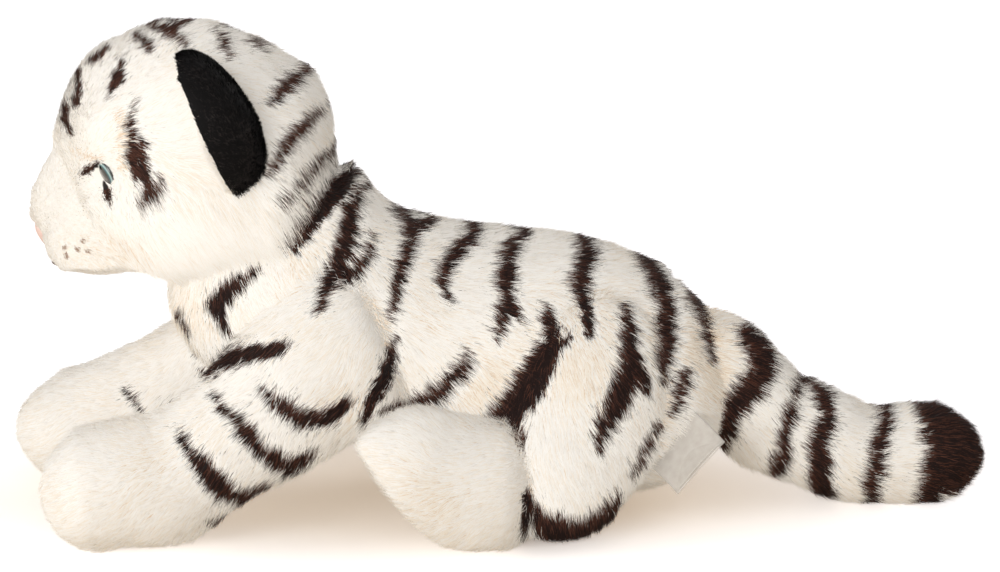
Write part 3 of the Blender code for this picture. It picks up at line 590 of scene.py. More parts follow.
def gridMesh(name, points, rows, columns, material, sign=1.0):
    # The points of a closed grid, joined by quads, and by a fan of triangles at each pole
    r, c = np.meshgrid(np.arange(rows - 1), np.arange(columns), indexing="ij")
    after = (c + 1) % columns
    quads = 1 + np.stack([r * columns + c, r * columns + after, (r + 1) * columns + after,
                          (r + 1) * columns + c], axis=-1).reshape(-1, 4)
    ring = np.arange(columns)
    nextInRing = (ring + 1) % columns
    last = len(points) - 1
    start = np.column_stack([np.zeros(columns, int), 1 + nextInRing, 1 + ring])
    end = np.column_stack([np.full(columns, last), last - columns + ring, last - columns + nextInRing])
    if sign < 0:
        quads, start, end = quads[:, ::-1], start[:, ::-1], end[:, ::-1]
    corners = np.concatenate([quads.ravel(), start.ravel(), end.ravel()])
    sizes = np.concatenate([np.full(len(quads), 4), np.full(2 * columns, 3)])
    return meshObject(name, points, corners, sizes, material)


def makeSkin(name, form, kind, rows, columns, body, nodes, slot="white_plush", darkness=None, material=backing,
             inset=stuffed["inset"]):
    u, v = closedGrid(rows, columns)
    points, normal = framesAt(form, u, v)
    normal[0], normal[-1] = unit(normal[1:columns + 1].mean(axis=0)), unit(normal[-columns - 1:-1].mean(axis=0))
    points = points - normal * inset
    made = gridMesh(name, points, rows, columns, material, outwardSign(form))
    addAttribute(made, "stripe", "FLOAT", "value",
                 darkness(u, v) if darkness else smoothStep(patternOf(kind, points), -1.0, 2.0))
    attach(made, body, slot, *nodes)


# Fur: bent flat strands, four points each, grown from a skin and combed along it

pile = {"width": 0.0003, "lift": (42, 16), "clump": 0.22, "clumpSize": 0.0042, "curl": 0.13, "tilt": 0.85}
coatShare = 1.0


def growFur(name, form, kind, count, seed, length, comb, body, slot="white_plush", pieces=1, lift=pile["lift"],
            others=(), shadeOf=None, span=None, bare=(), density=None):
    dice = np.random.default_rng(seed)
    count = int(count * coatShare)
    # roots spread evenly by area over a fine grid of the form
    rows, columns = 140, 110
    uLines, vLines = np.linspace(0, 1, rows + 1), np.linspace(0, 2 * math.pi, columns + 1)
    uGrid, vGrid = np.meshgrid(uLines, vLines, indexing="ij")
    grid = surfaceAt(form, uGrid.ravel(), vGrid.ravel()).reshape(rows + 1, columns + 1, 3)
    area = np.linalg.norm(np.cross(grid[1:, :-1] - grid[:-1, :-1], grid[:-1, 1:] - grid[:-1, :-1]), axis=-1)
    if density is not None:
        area = area * density(grid[:-1, :-1].reshape(-1, 3)).reshape(area.shape)
    running = np.cumsum(area.ravel())
    cell = np.searchsorted(running, dice.uniform(0, running[-1], count))
    u = (cell // columns + dice.uniform(0, 1, count)) / rows
    v = (cell % columns + dice.uniform(0, 1, count)) / columns * 2 * math.pi
    root, normal = framesAt(form, u, v)
    keep = root[:, 2] > 0.0009
    if span:
        keep &= (v > span[0]) & (v < span[1])
    for middle, radius in bare:
        keep &= np.linalg.norm(root - middle, axis=1) > radius
    # painted shade: how near each root lies to another form, painted warm and tan by the shade functions
    nearFormShade = np.zeros(count)
    for other, share, *fade in others:
        away = depthIn(other, root)
        keep &= away > share
        nearFormShade = np.maximum(nearFormShade, 1 - smoothStep(away, max(share, 0.8), max(share, 0.8) + (*fade, 0.26)[0]))
    u, v, root, normal, nearFormShade = u[keep], v[keep], root[keep], normal[keep], nearFormShade[keep]
    n = len(root)
    # the tuft that a strand belongs to: a cell of the skin with a strand of its own at a random place in it
    tuftRows = max(4, int(np.linalg.norm(np.diff(grid[:, 0], axis=0), axis=1).sum() / pile["clumpSize"]))
    tuftColumns = max(4, int(np.linalg.norm(np.diff(grid[rows // 2], axis=0), axis=1).sum() / pile["clumpSize"]))
    sway = ripple(root, seed + 1, 0.011) * 0.35
    tuftU = np.clip((u * tuftRows + sway).astype(int), 0, tuftRows - 1)
    tuftV = (v / 2 / math.pi * tuftColumns + sway).astype(int) % tuftColumns
    tuft = tuftU * tuftColumns + tuftV
    shift = dice.uniform(0.2, 0.8, (tuftRows * tuftColumns, 2))
    tuftRoot, tuftNormal = framesAt(form, (tuftU + shift[tuft, 0]) / tuftRows,
                                    (tuftV + shift[tuft, 1]) / tuftColumns * 2 * math.pi)
    tuftTurn = dice.normal(0, 0.1, tuftRows * tuftColumns)[tuft]
    tuftTall = dice.uniform(0.92, 1.06, tuftRows * tuftColumns)[tuft]

    def leanOf(points, outward, turn):
        flow = comb(points, outward)
        flow = unit(flow - outward * (flow * outward).sum(axis=1, keepdims=True))
        return unit(flow * np.cos(turn)[:, None] + np.cross(outward, flow) * np.sin(turn)[:, None])

    swirl = 0.22 * ripple(root, seed + 2, 0.035)
    lean = leanOf(root, normal, swirl + tuftTurn + dice.normal(0, pile["curl"], n))
    tuftLean = leanOf(tuftRoot, tuftNormal, swirl + tuftTurn)
    tall = length(root) * tuftTall * dice.uniform(0.78, 1.12, n)
    laid = 0.5 + 0.5 * smoothStep(tall, 0.002, 0.007)
    rootLift = np.radians(lift[0]) * laid + dice.normal(0, 0.12, n) + 0.15 * ripple(root, seed + 3, 0.02)
    tipLift = np.radians(lift[1]) + dice.normal(0, 0.16, n)

    def bent(start, towards, outward):
        half = (tall / 2)[:, None]
        middle = start + half * (towards * np.cos(rootLift)[:, None] + outward * np.sin(rootLift)[:, None])
        return middle, middle + half * (towards * np.cos(tipLift)[:, None] + outward * np.sin(tipLift)[:, None])

    start = root - normal * 0.0004
    middle, tip = bent(start, lean, normal)
    tuftMiddle, tuftTip = bent(tuftRoot, tuftLean, tuftNormal)
    middle = middle + (tuftMiddle - middle) * pile["clump"] * 0.35
    tip = tip + (tuftTip - tip) * pile["clump"]
    jitter = dice.uniform(-0.12, 0.12, n)[:, None]
    seen = [root + (tip - root) * (0.3 + jitter), root + (tip - root) * (0.8 + jitter)]
    along = unit(tip - start)
    flat = unit(np.cross(along, normal))
    roll = dice.uniform(-pile["tilt"], pile["tilt"], n)[:, None]
    sideways = unit(flat * np.cos(roll) + np.cross(along, flat) * np.sin(roll))
    half = (pile["width"] * dice.uniform(0.7, 1.3, n) / 2)[:, None]
    points = np.stack([start, middle - sideways * half, middle + sideways * half, tip], axis=1)
    points[..., 2] = np.maximum(points[..., 2], 0.0003)
    shown = unit(normal + (0.6 * laid - 0.1)[:, None] * np.cross(sideways, along))
    shade = (shadeOf or coatShade)(kind, seen, root, dice, nearFormShade)
    place = (shade + 0.5) / shadeCount
    offset = 0.34 / shadeCount
    uvs = np.stack([np.column_stack([place, np.full(n, 0.04)]), np.column_stack([place - offset, np.full(n, 0.5)]),
                    np.column_stack([place + offset, np.full(n, 0.5)]), np.column_stack([place, np.full(n, 0.97)])],
                   axis=1)
    for k, part in enumerate(np.array_split(np.arange(n), pieces)):
        attach(strandMesh(f"{name}{k + 1}" if pieces > 1 else name, points[part], uvs[part], shown[part]), body, slot)
    print(name, n, "strands")


def strandMesh(name, points, uvs, normals):
    # Two triangles to a strand
    n = len(points)
    corners = (4 * np.arange(n)[:, None] + np.array([0, 2, 1, 1, 2, 3])).ravel()
    made = meshObject(name, points.reshape(-1, 3), corners, np.full(2 * n, 3), fur)
    addUv(made, "OFBake", uvs.reshape(-1, 2), corners)
    made.data.normals_split_custom_set_from_vertices(np.repeat(normals, 4, axis=0).astype(np.float32))
    # real pile lets light through, so the skins under it cast the shadows and return the light
    made.visible_shadow, made.visible_diffuse = False, False
    return made


def pick(group, dice, n):
    low, high = shades[group]
    return dice.integers(low, high, n)


def coatShade(kind, seen, root, dice, nearFormShade):
    # White or dark for the lower and the upper half of each strand, by the pattern where each is seen
    n = len(root)
    stray = dice.normal(0, 1.1, n)
    low, high = (patternOf(kind, spots) + stray for spots in seen)
    shade = whiteShade(kind, seen, root, dice, nearFormShade)
    shade = np.where((low > 0) & (high > 0), pick("dark", dice, n), shade)
    shade = np.where((low > 0) & (high <= 0), pick("whiteTip", dice, n), shade)
    halo = 0.16 * smoothStep(np.maximum(low, high), -9, 0)  # dark roots show through the white beside a stripe
    shade = np.where((low <= 0) & (high <= 0) & (dice.uniform(0, 1, n) < halo), pick("whiteTip", dice, n), shade)
    edge = (np.minimum(low, high) < 3.0) & (dice.uniform(0, 1, n) < 0.6)
    darkEnd = np.where(edge, pick("brownTip", dice, n), pick("darkTip", dice, n))
    shade = np.where((low <= 0) & (high > 0), darkEnd, shade)
    inside = {"head": 0.42, "tail": 0.22}.get(kind, 0.1)  # the crown and the tail are marked in brown
    brown = np.where((low > 0) & (high > 0), np.where(edge, 0.75, inside), 0)
    shade = np.where(dice.uniform(0, 1, n) < brown, pick("brown", dice, n), shade)
    return extraMarks(kind, seen[1], shade, dice)


def whiteShade(kind, seen, root, dice, nearFormShade):
    # Creamier in random patches; painted shade: greyer between tufts, creamier low down, warm and tan in folds
    n = len(root)
    # painted shadow: greyer strands between the tufts
    tuftShadow = 0.1 + 0.42 * smoothStep(ripple(root, 93, 0.0065), 0.1, 1.1)  # between the tufts
    shade = np.where(dice.uniform(0, 1, n) < tuftShadow, pick("shadowGrey", dice, n), pick("white", dice, n))
    spots = faceView(root) if kind in ("head", "ear") else sideView(nearSide(root))
    # painted shade: how deep each root lies in the shaded folds listed above
    foldShade = np.zeros(n)
    for x, y, radius, strength in foldShadeSpots:
        foldShade = np.maximum(foldShade, strength * np.exp(-((spots[:, 0] - x) ** 2 + (spots[:, 1] - y) ** 2) / radius**2))
    # creamier in random patches, and painted warm shade low down near the floor
    warm = 0.1 + 0.3 * smoothStep(ripple(root, 91, 0.05), 0.0, 1.2) + 0.22 * (1 - smoothStep(root[:, 2], 0.0, 0.06))
    # painted shade: warm, then tan, where another form lies near and in the shaded folds
    shade = np.where(dice.uniform(0, 1, n) < warm + 0.6 * nearFormShade + foldShade, pick("warm", dice, n), shade)
    return np.where(dice.uniform(0, 1, n) < 0.5 * nearFormShade**1.5 + 0.3 * foldShade, pick("tan", dice, n), shade)


def extraMarks(kind, seen, shade, dice):
    if kind == "head":
        spots = faceView(seen)
        # painted shade: tan strands along the brow's crease and over the eye
        creaseShade = drawnDarkness(spots, creaseShadeLines, 0.8, 9) + dice.normal(0, 3.0, len(seen))
        shade = np.where((creaseShade > 1) & (shade < shades["dark"][0]), pick("tan", dice, len(seen)), shade)
        for x, y in whiskerSpots:
            near = np.hypot(spots[:, 0] - x, spots[:, 1] - y) + dice.normal(0, 0.5, len(seen)) < 2.4
            shade = np.where(near & (faceAxes(seen)[0] > 0.03), shades["spot"][0], shade)
    return shade
def blackShade(kind, seen, root, dice, nearFormShade):
    return pick("black", dice, len(root))
# How each part of the coat is combed, and how long it is

def flowAlong(form, sense, droop):
    centre, slope = pathAt(form, np.linspace(0, 1, 60))[:2]

    def comb(points, outward):
        k = np.argmin(((points[:, None] - centre[::3]) ** 2).sum(axis=2), axis=1) * 3
        return slope[k] * sense + np.array([0, 0, -droop])
    return comb
def haunchComb(points, outward):
    return np.tile([0.35, 0, -1.0], (len(points), 1))
def headComb(points, outward):
    # Away from the nose over the face, up the forehead and over the crown, down and back on the cheeks
    ahead, side, rise = faceAxes(points)
    nose = turnHead(np.array([[-0.192, 0.0, 0.128]]))[0]
    flow = unit(points - nose)
    cheek = smoothStep(-rise, -0.022, 0.012) * smoothStep(-ahead, -0.045, -0.015)
    back = smoothStep(-ahead, 0.005, 0.035)
    down = np.column_stack([0.62 + 0 * rise, np.sign(points[:, 1]) * 0.1, -0.8 + 0 * rise])
    flow = flow * (1 - cheek[:, None]) + down * cheek[:, None]
    return flow + np.array([0.3, 0, -0.9]) * (back * (1 - cheek))[:, None]


def onMuzzle(points):
    ahead, side, rise = faceAxes(points)
    muzzle = smoothStep(ahead, 0.032, 0.048) * smoothStep(0.04 - np.abs(side), 0.0, 0.012)
    return muzzle * smoothStep(0.006 - rise, 0.0, 0.012)


def headDensity(points):
    thick = 1 + 1.8 * onMuzzle(points)
    for place in eyes:
        thick = thick + 2.0 * (1 - smoothStep(np.linalg.norm(points - place["middle"], axis=1), 0.006, 0.02))
    return thick


def headLength(points):
    # Shortest on the muzzle and round the eyes, longest in the ruff of the cheeks
    ahead, side, rise = faceAxes(points)
    muzzle = onMuzzle(points)
    ruff = smoothStep(-rise, -0.01, 0.022) * smoothStep(-ahead, -0.036, -0.008)
    temple = smoothStep(-ahead, -0.036, -0.016) * (1 - smoothStep(-ahead, 0.0, 0.02))
    temple = temple * smoothStep(np.abs(side), 0.03, 0.044)
    tall = 0.0072 + 0.0022 * smoothStep(-ahead, -0.03, 0.03) + 0.01 * ruff + 0.0022 * temple * (1 - ruff)
    tall = tall + (0.0033 - tall) * muzzle
    for eye in eyes:
        tall = tall * (0.3 + 0.7 * smoothStep(np.linalg.norm(points - eye["middle"], axis=1), 0.0055, 0.016))
    return tall


def torsoLength(points):
    nape = smoothStep(-points[:, 0], 0.05, 0.085) * smoothStep(points[:, 2], 0.12, 0.145)
    return 0.0092 - 0.0045 * nape


def legLength(points):
    return 0.0066 + 0.0024 * smoothStep(points[:, 0], -0.15, -0.09)


def evenLength(value):
    return lambda points: np.full(len(points), value)
def earFrontLength(points):
    # Shorter at the foot of the ear, where it would hang past the end
    return 0.0125 * (0.35 + 0.65 * smoothStep(points[:, 2], 0.15, 0.172))
# Ears: the back bulges from a nearly straight rim, and the seam is sunk in the head

ear = {"base": (-0.113, -0.0424, 0.1765), "farDrop": 0.005, "along": (-0.40664, 0.221715, 0.886277),
       "outward": (0.0, -0.962, 0.272), "halfLength": 0.0315, "reach": 0.028, "bulge": 0.017,
       "thickness": 0.005, "sunk": 0.6, "pile": 0.0032, "edge": math.pi + 0.12}


def earAxes(side):
    along, outward = unit(np.array(ear["along"])), np.array(ear["outward"])
    outward = unit(outward - along * (outward @ along))
    opening = np.cross(outward, along)
    flip = np.array([1, -side, 1])
    base = np.array(ear["base"]) * flip - np.array([0, 0, ear["farDrop"] * (side > 0)])
    return base, along * flip, outward * flip, opening * flip


def earSurface(form, u, v):
    # A slice of a cupped shell: half an ellipse along the seam, bulging back as a quarter circle
    # towards the seam; v runs out to the rim over the back and home over the front
    base, along, outward, opening = earAxes(form["side"])
    size = np.sin(math.pi * u) ** 0.85
    out = -ear["sunk"] + (1 + ear["sunk"]) * np.sin(v / 2)
    back = np.sqrt(1 - np.clip(out, 0, 1) ** 2) * ear["bulge"] * size * (1 + 0.22 * np.cos(math.pi * u))
    thick = ear["thickness"] / 2 * np.sin(v) * np.sqrt(size)
    point = base - along * (np.cos(math.pi * u) * ear["halfLength"])[:, None] \
        + outward * (out * size * ear["reach"])[:, None] - opening * (back + thick)[:, None]
    return turnHead(point)
def earBlack(u, v):
    return smoothStep(ear["edge"] - v, 0, 0.1) * smoothStep(v, 0, 0.01)


def earFlow(side, down, out):
    along, outward = (turnDirection(axis) for axis in earAxes(side)[1:3])
    return lambda points, normal: np.tile(outward * out - along * down, (len(points), 1))


# Eyes: a glossy dome on a dark flange, looking forward and a little down

eye = {"radius": 0.006, "height": 0.0022, "sink": 0.0013, "rim": 0.0009, "clear": 0.93,
       "middle": (-0.1622, -0.0366, 0.1558), "facing": (-0.8, -0.44, -0.38), "pileShift": (-0.001, -0.0014)}


def eyeOf(side):
    # The near eye, or its mirror in the middle of the head; the pile closes over its outer rim
    flip = np.array([1, -side, 1])
    straight = turnHead(np.array(eye["middle"]), back=True) * flip
    facing = turnDirection(turnDirection(np.array(eye["facing"]), back=True) * flip)
    shift = np.array([eye["pileShift"][0], side * eye["pileShift"][1], 0])
    return {"middle": turnHead(straight), "facing": unit(facing), "pile": turnHead(straight + shift)}


eyes = [eyeOf(-1), eyeOf(1)]


def eyeMaterial():
    # Clear plastic over a pale teal iris with fine rays, a tall pupil and a dark edge
    made, tree, shader = simpleMaterial("eyeGloss", (0.3, 0.5, 0.5), 0.12,
                                        {"Coat Weight": 1.0, "Coat Roughness": 0.03})
    disc = nodeAt(tree, "Attribute", -1300, 0, attribute_name="disc").outputs["Vector"]
    parts = nodeAt(tree, "SeparateXYZ", -1120, -120, {0: disc}).outputs
    away = nodeAt(tree, "VectorMath", -1120, 60, {0: disc}, operation="LENGTH").outputs["Value"]
    rays = nodeAt(tree, "TexNoise", -1120, -320, {"Vector": disc, "Scale": 7.0, "Detail": 4.0}).outputs["Color"]
    ring = rampOf(tree, away, [(0.0, (0.006, 0.012, 0.015)), (0.66, (0.01, 0.028, 0.034)), (0.8, (0.1, 0.24, 0.27)),
                               (0.88, (0.58, 0.8, 0.8)), (0.965, (0.02, 0.02, 0.02))], -900, 120)
    oval = 0.0  # the pupil is an ellipse: the sum of the squares of each way over its half size
    for axis, half, y in (("X", 0.6, -140), ("Y", 0.78, -300)):
        share = nodeAt(tree, "Math", -900, y, {0: parts[axis], 1: half}, operation="DIVIDE").outputs[0]
        oval = nodeAt(tree, "Math", -700, y, {0: share, 1: share, 2: oval}, operation="MULTIPLY_ADD").outputs[0]
    pupil = rampOf(tree, oval, [(0.8, (0, 0, 0)), (0.98, (1, 1, 1))], -420, -200)
    speckle = mixOf(tree, 0.45, ring, rays, -560, 140, "MULTIPLY")
    feed(tree, shader, {"Base Color": mixOf(tree, pupil, (0.004, 0.004, 0.005, 1), speckle, -240, 60)})
    return made


def makeEye(name, place, material, node):
    # A profile turned about the eye's axis: dome, rounded edge, flange and flat back
    rows, columns, domeShare = 40, 64, 0.7
    u, v = closedGrid(rows, columns)
    turn = np.clip(u / domeShare, 0, 1) * math.pi / 2
    shut = np.clip((u - domeShare) / 0.3, 0, 1)
    across = np.where(u < domeShare, np.sin(turn), 1 - shut) * eye["radius"]
    high = np.where(u < domeShare, np.cos(turn) * eye["height"], -eye["rim"] * np.minimum(shut * 6, 1))
    facing = place["facing"]
    upward = unit(np.array([0, 0, 1.0]) - facing * facing[2])
    aside = np.cross(upward, facing)
    middle = place["middle"] - facing * eye["sink"]
    points = middle + facing * high[:, None] + aside * (across * np.cos(v))[:, None] \
        + upward * (across * np.sin(v))[:, None]
    made = gridMesh(name, points, rows, columns, material, sign=-1.0)
    disc = np.column_stack([across * np.cos(v), across * np.sin(v), 0 * u]) / eye["radius"]
    addAttribute(made, "disc", "FLOAT_VECTOR", "vector", disc)
    attach(made, "head", "eye_plastic", node)


# Nose: a small cushion on the front of the muzzle, wider above

nose = {"ahead": 0.0642, "rise": -0.038, "facing": (-0.9, 0.0, -0.43), "width": 0.0165, "height": 0.0155,
        "thickness": 0.0038, "clear": 0.0068}


def noseMiddle():
    return np.array(face["centre"]) + np.array([-nose["ahead"], 0, nose["rise"]])
def noseSurface(form, u, v):
    # An egg-shaped outline shrunk by a half circle, thick in the middle
    facing = unit(np.array(nose["facing"]))
    upward = unit(np.array([0, 0, 1.0]) - facing * facing[2])
    size = np.sin(math.pi * u)
    level = size * np.cos(v)
    aside = size * np.sin(v) * (1 + 0.34 * level) * nose["width"] / 2
    dent = 0.0009 * np.exp(-(((np.abs(aside) - 0.0036) / 0.0016) ** 2 + ((level - 0.05) / 0.28) ** 2))
    deep = np.cos(math.pi * u) * nose["thickness"] - np.where(u < 0.5, dent, 0)
    return turnHead(noseMiddle() + np.outer(deep, facing) + np.outer(level * nose["height"] / 2, upward)
                    + np.outer(aside, [0, 1.0, 0]))


def nostrils(u, v):
    # Dark inside two small ovals on the front
    size = np.sin(math.pi * u)
    level, aside = size * np.cos(v), size * np.sin(v)
    return np.exp(-(((np.abs(aside) - 0.45) / 0.14) ** 2 + ((level - 0.02) / 0.3) ** 2)) * (u < 0.5)


# Mouth: a stitched line down from the nose, parting to both sides

mouth = {"path": [(0.0, -0.0445), (0.0, -0.0485), (0.0035, -0.0503), (0.009, -0.05), (0.0145, -0.0475)],
         "thread": 0.0007, "clear": 0.0018, "proud": 0.0006}


def mouthLine(side):
    # The path laid on the front of the muzzle: the surface point with the nearest aside and rise
    u, v = np.meshgrid(np.linspace(0.55, 1, 260), np.linspace(0, 2 * math.pi, 361), indexing="ij")
    skin = surfaceAt(head, u.ravel(), v.ravel())
    ahead, aside, rise = faceAxes(skin)
    skin, aside, rise = skin[ahead > 0.04], aside[ahead > 0.04], rise[ahead > 0.04]
    path = np.array(mouth["path"]) * np.array([side, 1])
    steps = np.linspace(0, len(path) - 1, 25)
    line = np.column_stack([np.interp(steps, np.arange(len(path)), path[:, k]) for k in (0, 1)])
    near = np.argmin((aside[None] - line[:, :1]) ** 2 + (rise[None] - line[:, 1:]) ** 2, axis=1)
    found = skin[near]
    smooth = found.copy()
    smooth[1:-1] = (found[:-2] + found[1:-1] * 2 + found[2:]) / 4
    return smooth + unit(smooth - turnHead(np.array([face["centre"]]))) * mouth["proud"]


def makeThread(name, line, material):
    # Circles square to the line, closed at both ends
    columns = 8
    slope = unit(np.gradient(line, axis=0))
    across = unit(np.cross(slope, [0.3, 0.2, 1.0]))
    up = np.cross(across, slope)
    turn = np.arange(columns) * 2 * math.pi / columns
    rings = line[:, None] + mouth["thread"] * (across[:, None] * np.cos(turn)[:, None]
                                               + up[:, None] * np.sin(turn)[:, None])
    points = np.vstack([line[:1], rings.reshape(-1, 3), line[-1:]])
    attach(gridMesh(name, points, len(line), columns, material), "head", "white_plush")


def threadMaterial():
    # Brown cotton: fine slanting plies, painted lighter where they stand up as a highlight
    made, tree, shader = simpleMaterial("mouthThread", (0.1, 0.055, 0.045), 0.6)
    where = nodeAt(tree, "TexCoord", -900, 0).outputs["Object"]
    plies = nodeAt(tree, "TexWave", -700, 0, {"Vector": where, "Scale": 900.0},
                   bands_direction="DIAGONAL").outputs["Fac"]
    colourAndBump(tree, shader, plies, [(0.2, (0.055, 0.028, 0.022)), (0.8, (0.17, 0.1, 0.08))], plies, 0.6, 0.0002)
    return made


mouthLines = [mouthLine(-1), mouthLine(1)]


def sideOf(side):
    # What one side of the cub has: the words for its names, its foreleg, haunch and hind foot, and its ear
    word = "Left" if side < 0 else "Right"
    legs = [mirrored(form, side) for form in (nearForeleg if side < 0 else farForeleg, haunch, hindFoot)]
    return word, word.lower(), *legs, {"surface": earSurface, "side": side}


sides = [sideOf(-1), sideOf(1)]

makeSkin("torsoSkin", torso, "trunk", 90, 96, "body", ["torso"])
makeSkin("headSkin", head, "head", 210, 200, "head", ["head", "muzzle", "chin"])
eyeGloss, cotton = eyeMaterial(), threadMaterial()
for place, (word, low, *legs, shell) in zip(eyes, sides):
    makeEye(f"eye{word}", place, eyeGloss, f"eye_{low}")
    makeSkin(f"ear{word}Skin", shell, "ear", 48, 72, f"{low}_ear", [f"ear_back_{low}", f"ear_front_{low}"],
             "black_plush", earBlack, inset=0.0)
for line, (word, *rest) in zip(mouthLines, sides):
    makeThread(f"mouth{word}Stitch", line, cotton)
velour = backedMaterial("noseVelour", (0.8, 0.56, 0.5), 0.7, {"Sheen Weight": 0.3}, "TexNoise", "Fac", 1400.0,
                        [(0.0, (0.82, 0.6, 0.54)), (1.0, (0.22, 0.1, 0.09))], 0.5, 0.0004)
makeSkin("noseCushion", {"surface": noseSurface}, "nose", 36, 48, "head", ["nose"], "pink_plush", nostrils, velour,
         inset=0.0)
makeSkin("tailSkin", tail, "tail", 60, 48, "tail", ["tail"])
for word, low, foreleg, thigh, foot, shell in sides:
    makeSkin(f"foreleg{word}Skin", foreleg, foreleg["kind"], 70, 56, f"{low}_foreleg", [f"foreleg_{low}"])
    makeSkin(f"haunch{word}Skin", thigh, "trunk", 60, 56, "body", [f"thigh_{low}"])
    makeSkin(f"hindFoot{word}Skin", foot, "hindFoot", 50, 48, f"{low}_hind_foot", [f"hind_foot_{low}"])
print("skins made")

# Each coat: count, seed, length, comb and body; it stays out of the others, by how deep it may go into each
growFur("torsoFur", torso, "trunk", 230000, 11, torsoLength, flowAlong(torso, -1, 0.45), "body", pieces=2,
        # the head's third number is how far its painted shade reaches onto the torso
        others=[(head, 0.72, 0.45), (tail, 0.7), *((side[2], 0.55) for side in sides),
                *((side[3], 0.88) for side in sides)])
growFur("headFur", head, "head", 240000, 12, headLength, headComb, "head", pieces=3, density=headDensity,
        others=[(torso, 0.72)],
        bare=[(place["pile"], eye["radius"] * eye["clear"]) for place in eyes]
        + [(spot, mouth["clear"]) for line in mouthLines for spot in line]
        + [(turnHead(noseMiddle()), nose["clear"])])
for k, (word, low, *legs, shell) in enumerate(sides):
    growFur(f"ear{word}BackFur", shell, "ear", 52000, 50 + k, evenLength(ear["pile"]),
            earFlow(shell["side"], -0.5, 0.8), f"{low}_ear", "black_plush", others=[(head, 0.93)],
            shadeOf=blackShade, span=(0.3, ear["edge"]), lift=(55, 30))
    growFur(f"ear{word}FrontFur", shell, "ear", 40000, 60 + k, earFrontLength,
            earFlow(shell["side"], 0.9, 0.35), f"{low}_ear", others=[(head, 0.93)],
            shadeOf=whiteShade, span=(ear["edge"], 2 * math.pi - 0.3), lift=(58, 30))
growFur("tailFur", tail, "tail", 60000, 13, evenLength(0.0092), flowAlong(tail, 1, 0.1), "tail",
        others=[(torso, 0.75)])
for k, (word, low, foreleg, thigh, foot, shell) in enumerate(sides):
    growFur(f"foreleg{word}Fur", foreleg, foreleg["kind"], 72000, 20 + k, legLength, flowAlong(foreleg, 1, 0.35),
            f"{low}_foreleg", others=[(torso, 0.62)])
    growFur(f"haunch{word}Fur", thigh, "trunk", 60000, 30 + k, evenLength(0.0095), haunchComb, "body",
            others=[(torso, 0.9), (foot, 0.7)])
    growFur(f"hindFoot{word}Fur", foot, "hindFoot", 36000, 40 + k, evenLength(0.0075), flowAlong(foot, 1, 0.3),
            f"{low}_hind_foot", others=[(thigh, 0.6), (torso, 0.8)])
print("fur grown")


# Tabs: two layers of thin satin, sewn in beside the root of the tail and flaring out

tabs = {"upperSewn": (0.08, -0.0385, 0.0555), "lowerSewn": (0.0606, -0.0385, 0.0328), "wide": 0.03,
        "long": 0.024, "hang": (0.36, -0.52, -0.78), "curl": 0.0016, "apart": 0.0016, "thick": 0.00035}


def tabSurface(across, along, layer):
    # A flat sheet from the sewn line, bowed across its width and curling outward towards its free end
    upper, lower = np.array(tabs["upperSewn"]), np.array(tabs["lowerSewn"])
    sewn = unit(upper - lower)
    hang = np.array(tabs["hang"])
    hang = unit(hang - sewn * (hang @ sewn))
    face = np.cross(sewn, hang)
    face = face * (1 if face[1] < 0 else -1)
    point = lower + np.outer(across, upper - lower) + np.outer(along * tabs["long"] * (1 - 0.04 * layer), hang)
    bow = tabs["curl"] * (np.sin(math.pi * across) * along * (0.6 + layer) + 1.2 * (1 + layer) * along**3)
    return point + np.outer(bow - layer * tabs["apart"] * (0.4 + along), face)


def satinMaterial():
    # Pale woven satin that lets some light through: fine ribs of the weave and a soft sheen
    made, tree, shader = simpleMaterial("tabSatin", (0.84, 0.8, 0.755), 0.38, {"Alpha": 0.45, "Sheen Weight": 0.3})
    where = nodeAt(tree, "UVMap", -900, -100, uv_map="weave").outputs["UV"]
    ribs = nodeAt(tree, "TexWave", -700, -100, {"Vector": where, "Scale": 34.0}).outputs["Fac"]
    fleck = nodeAt(tree, "TexNoise", -700, 160, {"Vector": where, "Scale": 9.0}).outputs["Fac"]
    colourAndBump(tree, shader, fleck, [(0.3, (0.76, 0.72, 0.67)), (0.7, (0.86, 0.83, 0.79))], ribs, 0.25, 0.0002)
    return made


def makeTab(name, layer, node, material):
    rows, columns = 28, 24
    across, along = np.meshgrid(np.linspace(0, 1, columns + 1), np.linspace(0, 1, rows + 1))
    across, along = across.ravel(), along.ravel()
    r, c = np.meshgrid(np.arange(rows), np.arange(columns), indexing="ij")
    first = (r * (columns + 1) + c).ravel()
    corners = np.column_stack([first, first + 1, first + columns + 2, first + columns + 1]).ravel()
    made = meshObject(name, tabSurface(across, along, layer), corners, np.full(rows * columns, 4), material)
    addUv(made, "weave", np.column_stack([across, along]), corners)
    wall = made.modifiers.new("thickness", "SOLIDIFY")
    wall.thickness, wall.offset = tabs["thick"], 0.0
    attach(made, "body", "tab_satin", node)


satin = satinMaterial()
makeTab("tabOuterSheet", 0, "tab_outer", satin)
makeTab("tabInnerSheet", 1, "tab_inner", satin)
print("tabs made")


# Camera, light and floor

# the shadow colour is a painted shadow: the emission the camera sees near the toy
floor = {"reach": 6, "colour": (0.95, 0.88, 0.785), "roughness": 0.8, "shadow": (0.2, 0.13, 0.07, 1),
         "lit": (0.74, 0.74, 0.78, 1), "from": 0.05, "to": 0.17,
         "flatten": (0.5, 1.0, 1.0), "shift": (0.0175, -0.03, 0.0)}


def aimed(name, data, place, direction):
    made = addObject(name, data)
    made.location = Vector(place)
    made.rotation_euler = Vector(direction).to_track_quat("-Z", "Y").to_euler()
    return made


def addCamera():
    place, right, up, back = cameraFrame()
    data = bpy.data.cameras.new("camera")
    data.sensor_width = camera["sensor"]
    data.lens = camera["sensor"] * camera["distance"] / camera["acrossPicture"]
    bpy.context.scene.camera = aimed("camera", data, place, -back)


def addLight(name, place, target, size, power, colour):
    data = bpy.data.lights.new(name, "AREA")
    data.shape = "DISK"
    data.size, data.energy, data.color = size, power, colour
    aimed(name, data, place, Vector(target) - Vector(place))


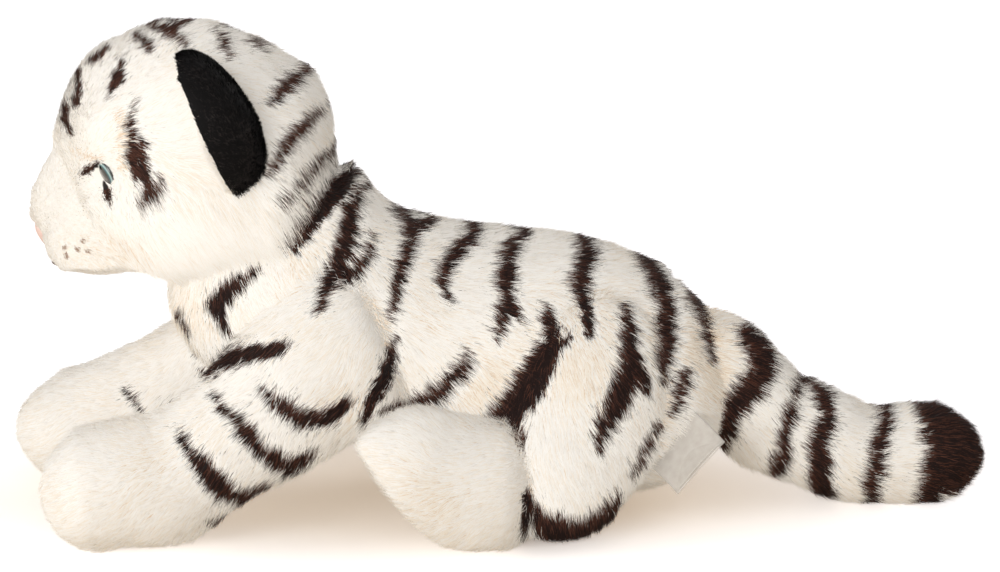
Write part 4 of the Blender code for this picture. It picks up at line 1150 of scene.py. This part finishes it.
def addFloor():
    # Emission lifts it to white for the camera, less and warmer near the toy: a painted shadow. It bounces warm light
    mesh, reach = bpy.data.meshes.new("floor"), floor["reach"]
    mesh.from_pydata([(-reach, -reach, 0), (reach, -reach, 0), (reach, reach, 0), (-reach, reach, 0)], [],
                     [(0, 1, 2, 3)])
    material, tree, shader = simpleMaterial("paleFloor", floor["colour"], floor["roughness"],
                                            {"Specular IOR Level": 0.0})
    seen = nodeAt(tree, "LightPath", -900, -200).outputs["Is Camera Ray"]
    where = nodeAt(tree, "TexCoord", -1100, 100).outputs["Object"]
    flat = nodeAt(tree, "VectorMath", -1000, 100, {0: where, 1: floor["flatten"], 2: floor["shift"]},
                  operation="MULTIPLY_ADD")
    away = nodeAt(tree, "VectorMath", -900, 100, {0: flat.outputs[0]}, operation="LENGTH")
    # painted shadow: the emission runs from the shadow colour near the toy to the lit one farther out
    far = nodeAt(tree, "MapRange", -700, 100, {"Value": away.outputs["Value"], "From Min": floor["from"],
                                               "From Max": floor["to"]}, interpolation_type="SMOOTHSTEP")
    feed(tree, shader, {"Base Color": mixOf(tree, seen, (*floor["colour"], 1), (1, 1, 1, 1), -500, 240),
                        "Emission Color": mixOf(tree, far.outputs[0], floor["shadow"], floor["lit"], -500, 0),
                        "Emission Strength": seen})
    mesh.materials.append(material)
    addObject("floor", mesh)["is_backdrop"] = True


def addWorld():
    # Warm and at half strength, but plain white where the camera, a gloss or a clear piece looks at it
    world = bpy.data.worlds.new("studio")
    bpy.context.scene.world = world
    world.use_nodes = True
    tree = world.node_tree
    rays = nodeAt(tree, "LightPath", -700, 0).outputs
    seen = rays["Is Camera Ray"]
    for x, ray in ((-500, "Is Glossy Ray"), (-350, "Is Transmission Ray")):
        seen = nodeAt(tree, "Math", x, 0, {0: seen, 1: rays[ray]}, operation="MAXIMUM").outputs[0]
    strength = nodeAt(tree, "MapRange", -200, 0, {"Value": seen, "To Min": 0.5, "To Max": 1.0}).outputs[0]
    tint = mixOf(tree, seen, (1.0, 0.955, 0.9, 1), (1, 1, 1, 1), -200, 200)
    feed(tree, tree.nodes["Background"], {"Color": tint, "Strength": strength})
addCamera()
addFloor()
addWorld()
addLight("keyLight", (-0.85, -1.12, 0.58), (-0.05, 0, 0.08), 1.0, 11.5, (1.0, 0.995, 0.985))
addLight("backLight", (0.45, 1.4, 0.45), (0, 0, 0.08), 1.0, 4.0, (1.0, 0.985, 0.96))
addLight("fillLight", (0.9, -1.2, 0.7), (0, 0, 0.08), 1.0, 1.0, (1.0, 0.96, 0.9))
bpy.context.scene.view_settings.view_transform = "Standard"
print("camera, floor and light placed")

low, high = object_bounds()
